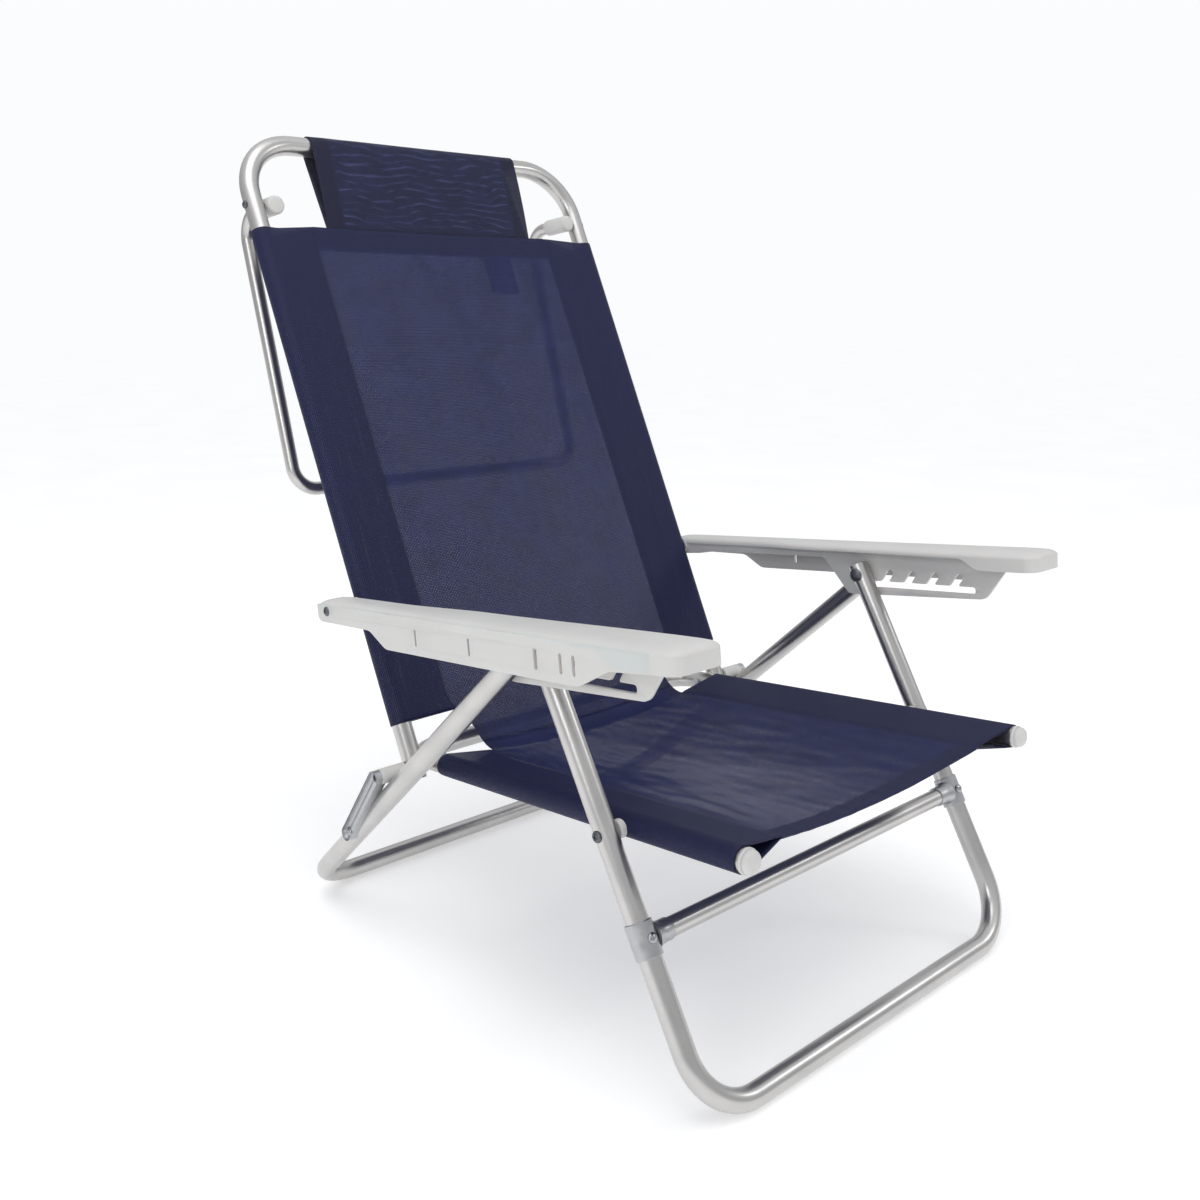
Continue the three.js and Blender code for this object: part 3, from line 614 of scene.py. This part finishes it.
inner_head = front_half - tube_r - gap
pin_inner = turned(
    "pin_button",
    [(inner_head - 0.0036, 0.0012), (inner_head - 0.0034, 0.0044), (inner_head - 0.0020, 0.0072),
     (inner_head - 0.0006, 0.0080), (inner_head, 0.0078), (inner_head, pin_r), (pin_inner_end, pin_r)],
    pin, (1, 0, 0),
)
fit_pair(pin_inner, "armrest_pin_inner", blackened, "front_legs")

# Side links: flat aluminium bars with round ends, punched at both ends. Each holds its rear leg
# to the rear pivot.
link_r = 0.008
link_way = (link_foot - back_pivot).normalized()
bpy.ops.object.select_all(action="DESELECT")
bpy.ops.mesh.primitive_cube_add(size=1, location=(0, 0, 0))
link = bpy.context.object
link.name = "side_link"
link_span = (link_foot - back_pivot).length
link.scale = (link_t, 2 * link_r, link_span + 2 * link_r)
bpy.ops.object.transform_apply()
bpy.ops.object.mode_set(mode="EDIT")
bpy.ops.mesh.select_all(action="DESELECT")
bpy.ops.object.mode_set(mode="OBJECT")
for edge in link.data.edges:
    ends = [link.data.vertices[i].co for i in edge.vertices]
    edge.select = abs(ends[0].x - ends[1].x) > link_t / 2
bpy.ops.object.mode_set(mode="EDIT")
bpy.ops.mesh.bevel(offset=link_r * 0.999, segments=12, affect="EDGES")
bpy.ops.object.mode_set(mode="OBJECT")
soft = link.modifiers.new("soft", "BEVEL")
soft.width, soft.segments, soft.angle_limit = 0.0004, 2, radians(50)
bpy.ops.object.modifier_apply(modifier=soft.name)
middle = (back_pivot + link_foot) / 2
lay = Matrix.Translation((link_x + link_t / 2, middle.y, middle.z))
across = Vector((1, 0, 0))
edgewise = link_way.cross(across)
axes = Matrix((across, edgewise, link_way)).transposed().to_4x4()
link.data.transform(lay @ axes)
if axes.determinant() < 0:
    link.data.flip_normals()
bpy.ops.object.shade_smooth_by_angle(angle=radians(35))
fit_pair(link, "side_link", pressed, "link_left", "link_right")

# Spacers, washers, end plugs and bail caps: moulded in the armrests' white polypropylene. The
# plugs are pressed into the seat tubes and show a flange and a low dome.
def white_polypropylene():
    """Moulded polypropylene: a cool white satin skin with a fine sparked grain and soft depth."""
    material = new_material("moulded_polypropylene")
    place = add(material, "TexCoord").outputs["Object"]
    flow = add(material, "TexNoise", {"Vector": place, "Scale": 14, "Detail": 2.0})
    grain = add(material, "TexNoise", {"Vector": place, "Scale": 1800, "Detail": 2.0})
    tone = add(
        material, "Mix",
        {0: flow.outputs[0], 6: linear("#cacac8"), 7: linear("#d6d5d3")},
        data_type="RGBA",
    )
    matt = add(material, "MapRange", {0: grain.outputs[0], 1: 0.3, 2: 0.7, 3: 0.38, 4: 0.5})
    skin = add(material, "Bump", {"Height": grain.outputs[0], "Distance": 0.00004, "Strength": 0.4})
    plastic = add(
        material, "BsdfPrincipled",
        {
            "Base Color": tone.outputs[2], "Roughness": matt.outputs[0], "IOR": 1.49,
            "Subsurface Weight": 0.12, "Subsurface Scale": 0.004, "Normal": skin.outputs[0],
        },
    )
    add(material, "OutputMaterial", {"Surface": plastic.outputs[0]})
    return material


def spacer(name, start, end, inner, outer, at):
    """A short tube with eased ends."""
    ease = 0.0005
    return turned(
        name,
        [(start, inner), (start, outer - ease), (start + ease, outer), (end - ease, outer),
         (end, outer - ease), (end, inner), (start, inner)],
        at, (1, 0, 0),
    )


white = white_polypropylene()
fit_pair(
    spacer("seat_spacer", seat_half + tube_r + gap, front_half - tube_r - gap, bolt_bore, 0.009, seat_pivot),
    "seat_pivot_spacer", white, "front_legs",
)
fit_pair(
    spacer("rear_washer", seat_half + tube_r + gap, back_half - tube_r - gap, bolt_bore, 0.008, back_pivot),
    "rear_pivot_washer", white, "rear_pivots",
)
fit_pair(
    spacer("link_sleeve", link_start, link_x - gap, bolt_bore, 0.0084, back_pivot),
    "link_spacer", white, "link_left", "link_right",
)
plug = turned(
    "end_plug",
    [(-0.0150, 0.0070), (-0.0140, 0.0088), (0.0003, 0.0088), (0.0003, 0.0112), (0.0010, 0.0118),
     (0.0030, 0.0118), (0.0036, 0.0112), (0.0037, 0.0102), (0.0050, 0.0108), (0.0072, 0.0104),
     (0.0092, 0.0090), (0.0106, 0.0066), (0.0114, 0.0036), (0.0116, 0.0010)],
    Vector((seat_half, seat_front.y, seat_front.z)), seat_way,
)
fit_pair(plug, "seat_plug", white, "seat")
cap_r = 0.0106
cap_mouth = 0.030
cap = turned(
    "bail_end",
    [(0.0077, 0.0083), (cap_mouth, 0.0083), (cap_mouth, cap_r - 0.0005), (cap_mouth - 0.0006, cap_r),
     (-0.0088, cap_r), (-0.0104, cap_r * 0.96), (-0.0115, cap_r * 0.86), (-0.0119, cap_r * 0.70),
     (-0.0119, cap_r * 0.08)],
    Vector((bail_half, bail_pivot.y, bail_pivot.z)), bail_way,
)
fit_pair(cap, "bail_cap", white, "bail")

# Armrest bushes: a zinc-plated sleeve on each armrest screw, inside the moulding. It keeps the
# armrest from binding as it turns.
bush_start, bush_end, bush_r = 0.2555, 0.2899, 0.0070
fit_pair(
    spacer("arm_bush", bush_start, bush_end, bolt_bore, bush_r, arm_pivot),
    "armrest_bush", plated, "armrest_screw_left", "armrest_screw_right",
)

# Sling: navy vinyl-coated polyester mesh, cut in two sheets that are sewn together at the bend
# between seat and back. Each side is turned into a sleeve round its tube, and each end is hemmed.
middle_pivot = Vector((0, back_pivot.y, back_pivot.z))
back_up = Vector((0, -back_way.z, back_way.y))
seat_up = Vector((0, seat_way.z, -seat_way.y))
bend_r = 0.040
bend_run = 0.028
seam_at = 0.0036
sleeve_r = 0.0119
cloth_t = 0.0008
columns = 160


def coated_mesh(name, light, dark, hem):
    """Vinyl-coated polyester mesh: a square weave of round dull yarns with small open holes.
    Its yarn tone varies at random. The single layer's tone is painted lighter and bluer, as painted
    light shining through it, and where a hem or sleeve lays two layers together the colour is
    painted darker, as painted shade where less light comes through. The real yarns are about
    1.1 mm apart; they are drawn at 2.2 mm so that the weave shows."""
    material = new_material(name)
    place = add(material, "UVMap", uv_map="flat").outputs["UV"]
    parts = add(material, "SeparateXYZ", {0: place})
    waves = []
    for axis, pitch in ((0, 0.0022), (1, 0.0019)):
        turned_by = add(
            material, "Math", {0: parts.outputs[axis], 1: 2 * pi / pitch}, operation="MULTIPLY",
        )
        wave = add(material, "Math", {0: turned_by.outputs[0]}, operation="COSINE")
        waves.append(add(
            material, "Math", {0: wave.outputs[0], 1: 0.5, 2: 0.5}, operation="MULTIPLY_ADD",
        ).outputs[0])
    open_share = add(material, "Math", {0: waves[0], 1: waves[1]}, operation="MULTIPLY")
    hole = add(
        material, "MapRange",
        {0: open_share.outputs[0], 1: 0.40, 2: 0.56, 3: 1.0, 4: 0.42},
    )
    cloud = add(material, "TexNoise", {"Vector": place, "Scale": 26, "Detail": 3.0})
    slub = add(material, "Mapping", {"Vector": place, "Scale": (430, 210, 1)})
    yarn = add(material, "TexNoise", {"Vector": slub.outputs[0], "Scale": 1.0, "Detail": 1.0})
    share = add(material, "Math", {0: cloud.outputs[0], 1: yarn.outputs[0]}, operation="MULTIPLY")
    spread = add(material, "MapRange", {0: share.outputs[0], 1: 0.12, 2: 0.38, 3: 0.0, 4: 1.0})
    tone = add(
        material, "Mix",
        {0: spread.outputs[0], 6: linear(dark), 7: linear(light)},
        data_type="RGBA",
    )
    # Painted shade: where the doubled attribute marks two layers, the colour turns to the darker hem colour;
    # the lighter, bluer tone elsewhere is painted light through one layer.
    layers = add(material, "Attribute", attribute_name="doubled")
    painted_layer_shade = add(
        material, "Mix",
        {0: layers.outputs["Fac"], 6: tone.outputs[2], 7: linear(hem)},
        data_type="RGBA",
    )
    weave = add(
        material, "Bump",
        {"Height": open_share.outputs[0], "Distance": 0.0003, "Strength": 0.8}, invert=True,
    )
    cloth = add(
        material, "BsdfPrincipled",
        {
            "Base Color": painted_layer_shade.outputs[2], "Roughness": 0.55, "IOR": 1.45,
            "Specular IOR Level": 0.35, "Alpha": hole.outputs[0], "Normal": weave.outputs[0],
        },
    )
    add(material, "OutputMaterial", {"Surface": cloth.outputs[0]})
    return material


def along(way, up, s):
    """A point on the sheet's middle line, round the bend near the pivot, and its face's way."""
    if s >= bend_run:
        return middle_pivot + way * s, up
    turned_by = (bend_run - s) / bend_r
    face = up * cos(turned_by) + way * sin(turned_by)
    return middle_pivot + way * bend_run + up * bend_r - face * bend_r, face


def across(a, half, sewn):
    """From a sheet's middle (0) to its rear sewn edge (1): place across, height and girth."""
    wrap_turn = pi - acos(sleeve_r / (half - sewn))
    edge_x, edge_h = half + sleeve_r * cos(wrap_turn), sleeve_r * sin(wrap_turn)
    slope = edge_x - sewn
    if a <= 0.5:
        return sewn * a / 0.5, 0.0, sewn * a / 0.5
    if a <= 0.65:
        share = (a - 0.5) / 0.15
        return sewn + slope * share, 0.0006 + (edge_h - 0.0006) * share, sewn + slope * share
    if a <= 0.85:
        share = (a - 0.65) / 0.2
        turned_by = wrap_turn * (1 - 2 * share)
        girth = sewn + slope + 2 * wrap_turn * sleeve_r * share
        return half + sleeve_r * cos(turned_by), sleeve_r * sin(turned_by), girth
    share = (a - 0.85) / 0.15
    girth = sewn + slope + 2 * wrap_turn * sleeve_r + slope * share
    return edge_x - slope * share, -edge_h + (edge_h - 0.0012) * share, girth


def eased(share):
    """Rises smoothly from 0 to 1."""
    share = min(1.0, max(0.0, share))
    return share * share * (3 - 2 * share)


def cloth_grid(name, places, wide, long):
    """A grid whose points are put in their places, with its flat cut kept as a map in metres.
    A point that is not kept leaves its faces out."""
    bpy.ops.object.select_all(action="DESELECT")
    bpy.ops.mesh.primitive_grid_add(x_subdivisions=wide, y_subdivisions=long, size=2)
    piece = bpy.context.object
    piece.name = name
    flat_places = []
    dropped = []
    doubled = piece.data.attributes.new("doubled", "FLOAT", "POINT")
    for point in piece.data.vertices:
        across_share = point.co.x
        row = round((point.co.y + 1) / 2 * long)
        place, cut_place, kept, layers = places(across_share, row)
        point.co = place
        flat_places.append(cut_place)
        doubled.data[point.index].value = layers
        if not kept:
            dropped.append(point.index)
    cut = piece.data.uv_layers.active or piece.data.uv_layers.new()
    cut.name = "flat"
    for loop in piece.data.loops:
        cut.data[loop.index].uv = flat_places[loop.vertex_index]
    bpy.ops.object.mode_set(mode="EDIT")
    bpy.ops.mesh.select_mode(type="VERT")
    bpy.ops.mesh.select_all(action="DESELECT")
    bpy.ops.object.mode_set(mode="OBJECT")
    for index in dropped:
        piece.data.vertices[index].select = True
    bpy.ops.object.mode_set(mode="EDIT")
    if dropped:
        bpy.ops.mesh.delete(type="VERT")
    bpy.ops.object.mode_set(mode="OBJECT")
    thick = piece.modifiers.new("cloth", "SOLIDIFY")
    thick.thickness = cloth_t
    thick.offset = 0
    bpy.ops.object.modifier_apply(modifier=thick.name)
    bpy.ops.object.shade_smooth()
    return piece


def hemmed_rows(last, hem, pitch=0.005):
    """Distances along a sheet and depths behind its face: out to the end, then back in a hem."""
    count = round((last - seam_at) / pitch)
    rows = [(seam_at + (last - seam_at) * k / count, 0.0) for k in range(count + 1)]
    rows += [(last + 0.0007, -0.0007), (last, -0.0016)]
    return rows + [(last - hem * k / 6, -0.0018) for k in range(1, 7)]


def sling_sheet(name, half, way, up, sewn, rows, sleeve, sag, hollow, hem, seed):
    """One sheet of the sling. sleeve is its sleeves' start and end, sag gives the middle's drop
    at a distance, and hollow is how far the end edge curves in at the middle."""
    last = max(s for s, _ in rows)
    runs = [0.0]
    for (s, d), (t, e) in zip(rows, rows[1:]):
        runs.append(runs[-1] + ((t - s) ** 2 + (e - d) ** 2) ** 0.5)

    def places(share, row):
        s, depth = rows[row]
        a = abs(share)
        narrow = 0.152 + (sewn - 0.152) * eased((s - 0.015) / 0.055)
        x, height, girth = across(a, half, narrow)
        in_middle = max(0.0, 1 - (min(a, 0.5) / 0.5) ** 2)
        end_share = eased(s / last)
        pull = hollow * in_middle * end_share ** 3
        if a > 0.5:
            rounded_part = min(1.0, (a - 0.5) / 0.12, (1 - a) / 0.12)
            pull = (last - sleeve[1]) * rounded_part * end_share
        else:
            height -= sag(s) * in_middle
            spot = Vector((share * 4.2, s * 7.0, seed))
            fine = Vector((share * 19.0, s * 23.0, seed + 4))
            loose = eased((0.5 - a) / 0.08)
            height += loose * (0.0013 * noise.noise(spot) + 0.0005 * noise.noise(fine))
        side = 1 if share >= 0 else -1
        middle, face = along(way, up, s - pull)
        place = middle + face * (height + depth) + Vector((side * x, 0, 0))
        folded = row > len(rows) - 9
        kept = a <= 0.502 or (s >= sleeve[0] and not folded)
        # layers marks where two layers of mesh lie: sleeves, end hems and seam edges; the material paints
        # these darker as painted shade.
        seam_edge = s < 0.05 and a > 0.45
        layers = 1.0 if a > 0.495 or s > last - hem or seam_edge else 0.0
        return place, (side * girth, runs[row]), kept, layers

    return cloth_grid(name, places, columns, len(rows) - 1)


# The centre colours are painted lighter and bluer than the hem colour: painted light through the single
# layer, painted shade in the doubled hems and sleeves.
navy = coated_mesh("coated_polyester_mesh", "#212757", "#1a1f47", "#1c2045")
back_rows = hemmed_rows(0.640, 0.028)
back_cloth = sling_sheet(
    "back_sling_cloth", back_half, back_way, back_up, 0.176, back_rows, (0.045, 0.632),
    lambda s: 0.010 - 0.002 * eased(s / 0.15) - 0.005 * eased((s - 0.30) / 0.34), 0.0, 0.028, 11,
)
seat_rows = hemmed_rows(0.441, 0.025)
seat_cloth = sling_sheet(
    "seat_sling_cloth", seat_half, seat_way, seat_up, 0.158, seat_rows, (0.020, 0.4500),
    lambda s: 0.010 + 0.006 * eased(s / 0.18), 0.013, 0.025, 37,
)
for cloth, nodes in ((back_cloth, ("back_sling", "sling_fold")), (seat_cloth, ("seat_sling",))):
    cloth.data.materials.append(navy)
    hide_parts(*nodes)
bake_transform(seat_cloth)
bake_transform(back_cloth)

# Head pillow: a band of the same mesh, looped over the top tube and sewn to the sling's top
# hem. Its two layers of mesh are painted darker as painted shade, with a wavy pattern of painted
# light where their holes pass each other.
pillow_half = 0.153
pillow_low = 0.634
bar_r = 0.0125
pillow_path = []
bottom_front, bottom_rear = -0.0031, -0.0048
for k in range(16):
    share = k / 16
    swell = 0.0016 * sin(pi * share)
    pillow_path.append((pillow_low + (back_reach - pillow_low) * share,
                        bottom_front + (bar_r - bottom_front) * share + swell))
for k in range(19):
    turned_by = pi * k / 18
    pillow_path.append((back_reach + bar_r * sin(turned_by), bar_r * cos(turned_by)))
for k in range(1, 17):
    share = k / 16
    pillow_path.append((back_reach - (back_reach - pillow_low) * share,
                        -bar_r + (bar_r + bottom_rear) * share))
pillow_runs = [0.0]
for (s, h), (t, g) in zip(pillow_path, pillow_path[1:]):
    pillow_runs.append(pillow_runs[-1] + ((t - s) ** 2 + (g - h) ** 2) ** 0.5)


def pillow_place(share, row):
    s, height = pillow_path[row]
    x = share * pillow_half
    slack = sin(pi * min(1.0, pillow_runs[row] / pillow_runs[-1]))
    near_hem = eased((back_reach - s) / (back_reach - pillow_low))
    height -= 0.003 * near_hem * (1 - (x / 0.176) ** 2)
    height += slack * 0.0007 * noise.noise(Vector((share * 5.0, pillow_runs[row] * 30, 3)))
    place = middle_pivot + back_way * s + back_up * height + Vector((x, 0, 0))
    # The last value marks the band's doubled sides and the hem, which the material paints darker as painted
    # shade.
    return place, (x, pillow_runs[row]), True, 1.0 if abs(share) > 0.86 or near_hem > 0.97 else 0.0


def double_mesh():
    """Two layers of coated mesh, one behind the other: painted darker, as painted shade where little
    light comes through, with paler wavy bands of painted light where the holes of one layer pass in
    and out of line with those of the other."""
    material = coated_mesh("doubled_coated_mesh", "#22264a", "#1b1e3a", "#1b1e38")
    tree = material.node_tree
    cloth = next(node for node in tree.nodes if node.type == "BSDF_PRINCIPLED")
    tone = cloth.inputs["Base Color"].links[0].from_socket
    place = next(node for node in tree.nodes if node.type == "UVMAP").outputs["UV"]
    # Painted light: paler wavy bands, kept off the hems, where the holes of both layers line up and light
    # comes through.
    band = add(
        material, "TexWave",
        {"Vector": place, "Scale": 34.0, "Distortion": 14.0, "Detail": 2.0, "Detail Scale": 0.35},
        bands_direction="Y",
    )
    dashes = add(material, "Mapping", {"Vector": place, "Scale": (34, 150, 1)})
    broken = add(material, "TexNoise", {"Vector": dashes.outputs[0], "Scale": 1.0, "Detail": 1.0})
    both = add(material, "Math", {0: band.outputs["Fac"], 1: broken.outputs[0]}, operation="MULTIPLY")
    hems = next(node for node in tree.nodes if node.type == "ATTRIBUTE").outputs["Fac"]
    inside = add(material, "Math", {0: 1.0, 1: hems}, operation="SUBTRACT")
    lit_where_holes_meet = add(material, "Math", {0: both.outputs[0], 1: inside.outputs[0]}, operation="MULTIPLY")
    share = add(material, "MapRange", {0: lit_where_holes_meet.outputs[0], 1: 0.38, 2: 0.66, 3: 0.0, 4: 0.8})
    painted_through_light = add(
        material, "Mix",
        {0: share.outputs[0], 6: tone, 7: linear("#3c4169")},
        data_type="RGBA",
    )
    tree.links.new(painted_through_light.outputs[2], cloth.inputs["Base Color"])
    return material


pillow = cloth_grid("pillow_band", pillow_place, 60, len(pillow_path) - 1)
pillow.data.materials.append(double_mesh())
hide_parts("head_pillow")
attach(pillow, "back")

# Tab: a small plain piece of coated polyester, sewn behind the mesh just below the top hem.
tab_low, tab_high = (Vector(corner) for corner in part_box("hem_tab"))
tab_top = (tab_high.z - middle_pivot.z) / back_way.z
tab_run = (tab_high.z - tab_low.z) / back_way.z


def tab_place(share, row):
    down = row / 8
    x = (tab_low.x + tab_high.x) / 2 + share * (tab_high.x - tab_low.x) / 2
    height = -0.0078 - 0.0026 * down + 0.0012 * share * share * down
    place = middle_pivot + back_way * (tab_top - tab_run * down) + back_up * height
    return place + Vector((x, 0, 0)), (x, tab_run * down), True, 1.0


def plain_coating():
    """Plain coated polyester: close and dark, with a faint weave under the coating."""
    material = new_material("plain_coated_polyester")
    place = add(material, "UVMap", uv_map="flat").outputs["UV"]
    weave = add(material, "TexChecker", {"Vector": place, "Scale": 900.0})
    cloud = add(material, "TexNoise", {"Vector": place, "Scale": 60, "Detail": 2.0})
    tone = add(
        material, "Mix",
        {0: cloud.outputs[0], 6: linear("#1c1e30"), 7: linear("#26283c")},
        data_type="RGBA",
    )
    rise = add(material, "Bump", {"Height": weave.outputs["Fac"], "Distance": 0.0001, "Strength": 0.4})
    cloth = add(
        material, "BsdfPrincipled",
        {"Base Color": tone.outputs[2], "Roughness": 0.62, "Normal": rise.outputs[0]},
    )
    add(material, "OutputMaterial", {"Surface": cloth.outputs[0]})
    return material


tab = cloth_grid("plain_tab", tab_place, 8, 8)
tab.data.materials.append(plain_coating())
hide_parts("hem_tab")
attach(tab, "back")

# Armrests: white moulded polypropylene channels, open below. The outer wall is plain with a few
# slits, the inner wall drops to carry the notched slot, and the crowned top widens to the front.
arm_tilt = radians(6.2)
arm_forward = Vector((0, -cos(arm_tilt), sin(arm_tilt)))
arm_up = Vector((0, sin(arm_tilt), cos(arm_tilt)))


def rounded(corners):
    """The outline of a polygon whose corners are (forward, up, radius), in millimetres."""
    outline = []
    count = len(corners)
    for k, (u, v, radius) in enumerate(corners):
        here = Vector((u, v))
        before = Vector(corners[k - 1][:2]) - here
        after = Vector(corners[(k + 1) % count][:2]) - here
        half_turn = (pi - before.angle(after)) / 2
        reach = min(radius * tan(half_turn), 0.49 * before.length, 0.49 * after.length)
        start, end = here + before.normalized() * reach, here + after.normalized() * reach
        steps = max(2, round(half_turn / radians(6)))
        for step in range(steps + 1):
            share = step / steps
            outline.append(start * (1 - share) ** 2 + here * 2 * share * (1 - share) + end * share ** 2)
    return outline


def slot_outline(start, end, width):
    """A slot with round ends, between two points in millimetres."""
    start, end = Vector(start), Vector(end)
    way = (end - start).normalized()
    side = Vector((-way.y, way.x)) * width / 2
    outline = []
    for centre, first in ((end, -side), (start, side)):
        for step in range(9):
            turned_by = pi * step / 8
            outline.append(centre + Vector((
                first.x * cos(turned_by) - first.y * sin(turned_by),
                first.x * sin(turned_by) + first.y * cos(turned_by),
            )))
    return outline


def wall_plate(name, x_from, x_to, outline, holes):
    """A flat moulded wall, cut from its outline with its holes, standing along the armrest."""
    curve = bpy.data.curves.new(name, "CURVE")
    curve.dimensions = "2D"
    curve.fill_mode = "BOTH"
    for points in [outline] + holes:
        line = curve.splines.new("POLY")
        line.points.add(len(points) - 1)
        line.use_cyclic_u = True
        for spot, point in zip(line.points, points):
            spot.co = (point.x / 1000, point.y / 1000, 0, 1)
    curve.bevel_depth = 0.0003
    curve.bevel_resolution = 1
    curve.extrude = (x_to - x_from) / 2 - 0.0003
    curve.offset = -0.0003
    bpy.ops.object.select_all(action="DESELECT")
    plate = bpy.data.objects.new(name, curve)
    bpy.context.collection.objects.link(plate)
    plate.select_set(True)
    bpy.context.view_layer.objects.active = plate
    bpy.ops.object.convert(target="MESH")
    plate = bpy.context.object
    axes = Matrix((arm_forward, arm_up, Vector((-1, 0, 0)))).transposed().to_4x4()
    plate.data.transform(Matrix.Translation(((x_from + x_to) / 2, arm_pivot.y, arm_pivot.z)) @ axes)
    bpy.ops.object.mode_set(mode="EDIT")
    bpy.ops.mesh.select_all(action="SELECT")
    bpy.ops.mesh.remove_doubles(threshold=1e-6)
    bpy.ops.mesh.normals_make_consistent(inside=False)
    bpy.ops.object.mode_set(mode="OBJECT")
    bpy.ops.object.shade_smooth_by_angle(angle=radians(30))
    return plate


outer_wall = wall_plate(
    "outer_wall", 0.2902, 0.2934,
    rounded([(-20, 5, 2), (-20, -12, 12), (84, -13.5, 16), (112, -30.4, 18), (412, -30.4, 28),
             (452, -12.5, 18), (500, -9.5, 1), (500, 7, 1), (-20, 7, 2)]),
    [slot_outline((u, -20), (u, -6), width)
     for u, width in ((170, 3), (259, 3), (358, 5), (392, 4), (409, 4))],
)
track_low, track_high = -39.2, -31.6
notch_pitch, notch_first, notch_r = 30.4, 304.5, 4.3
comb = [(290.5, track_low, 3.7), (446, track_low, 3.7), (446, track_high, 3.7)]
lean, cross_lean = Vector((0.598, 0.802)), Vector((0.80, -0.60))
for k in reversed(range(5)):
    top = Vector((notch_first + notch_pitch * k, -22)) + lean * notch_r
    foot = notch_first + notch_pitch * k - 7.16
    right, left = top + cross_lean * notch_r, top - cross_lean * notch_r
    comb += [(foot + 5.36, track_high, 2), (right.x, right.y, notch_r), (left.x, left.y, notch_r)]
    comb += [(foot - 5.36, track_high, 2)] if k else []
inner_wall = wall_plate(
    "inner_wall", 0.2585, 0.2623,
    rounded([(-20, 5, 2), (-20, -12, 10), (30, -10, 15), (60, -6.5, 20), (240, -6, 16),
             (276, -49.5, 12), (458, -44.5, 14), (488, -4.5, 12), (523, -1, 4), (523, 7, 2), (-20, 7, 2)]),
    [rounded(comb)],
)


def arm_edges(u):
    """The armrest top's inner and outer edges at a distance forward of the pivot, in millimetres."""
    inner = 256.6 - 9.6 * eased((u - 112) / 128) - 8.5 * eased((u - 240) / 247)
    outer = 293.4 + 1.1 * eased((u - 112) / 128) + 3.5 * eased((u - 240) / 247)
    return inner, outer


def arm_top_place(across_share, along_share):
    """A point on the crowned top shell."""
    rear, front, rear_r, front_r = -20.0, 527.0, 8.0, 14.0
    u = (rear + front) / 2 - cos(pi * along_share) * (front - rear) / 2
    inner, outer = arm_edges(u)
    tuck = 0.0
    for distance, radius in ((u - rear, rear_r), (front - u, front_r)):
        if distance < radius:
            tuck = max(tuck, radius - max(0.0, radius ** 2 - (radius - distance) ** 2) ** 0.5)
    spread = sin(across_share * pi / 2)
    half = (outer - inner) / 2 - tuck
    x = (inner + outer) / 2 + spread * half
    run = abs(2 * (u - rear) / (front - rear) - 1)
    crown = 7 * max(0.0, (1 - abs(spread) ** 3.5) * (1 - run ** 40)) ** 0.5
    return Vector((x / 1000, arm_pivot.y, arm_pivot.z)) + arm_forward * u / 1000 + arm_up * (5 + crown) / 1000


for point in outer_wall.data.vertices:
    forward = (point.co - Vector((0, arm_pivot.y, arm_pivot.z))).dot(arm_forward) * 1000
    point.co.x += (arm_edges(forward)[1] - 293.4) / 1000

bpy.ops.object.select_all(action="DESELECT")
bpy.ops.mesh.primitive_grid_add(x_subdivisions=32, y_subdivisions=110, size=2)
arm_top = bpy.context.object
for point in arm_top.data.vertices:
    point.co = arm_top_place(point.co.x, (point.co.y + 1) / 2)
bpy.ops.object.mode_set(mode="EDIT")
bpy.ops.mesh.select_mode(type="EDGE")
bpy.ops.mesh.select_all(action="SELECT")
bpy.ops.mesh.region_to_loop()
for drop in (0.0012, 0.0068, 0.0060):
    bpy.ops.mesh.extrude_edges_move(TRANSFORM_OT_translate={"value": -arm_up * drop})
bpy.ops.object.mode_set(mode="OBJECT")
for point in arm_top.data.vertices:
    offset = point.co - Vector((0, arm_pivot.y, arm_pivot.z))
    below = 0.005 - offset.dot(arm_up)
    if below > 0.0003:
        share = 0.12 + 0.88 * eased((offset.dot(arm_forward) - 0.436) / 0.026)
        point.co += arm_up * below * (1 - share)
arm_wall = 0.0025
wall_in(arm_top, arm_wall)
arm_parts = [arm_top, outer_wall, inner_wall]
for u in (60, 130, 480):
    centre = Vector((0.2763, arm_pivot.y, arm_pivot.z)) + arm_forward * u / 1000 + arm_up * 0.001
    bpy.ops.object.select_all(action="DESELECT")
    bpy.ops.mesh.primitive_cube_add(size=1)
    rib = bpy.context.object
    axes = Matrix((Vector((-1, 0, 0)), arm_forward, arm_up)).transposed().to_4x4()
    rib.data.transform(
        Matrix.Translation(centre) @ axes @ Matrix.Diagonal((0.0290, 0.0024, 0.0110, 1))
    )
    soften = rib.modifiers.new("soften", "BEVEL")
    soften.width, soften.segments = 0.0006, 2
    bpy.ops.object.modifier_apply(modifier=soften.name)
    arm_parts.append(rib)
arm_parts.append(spacer("boss", 0.2553, 0.2905, 0.0077, 0.0097, arm_pivot))
arm = joined("armrest", arm_parts)
fit_pair(arm, "armrest", white, "armrest_left", "armrest_right")
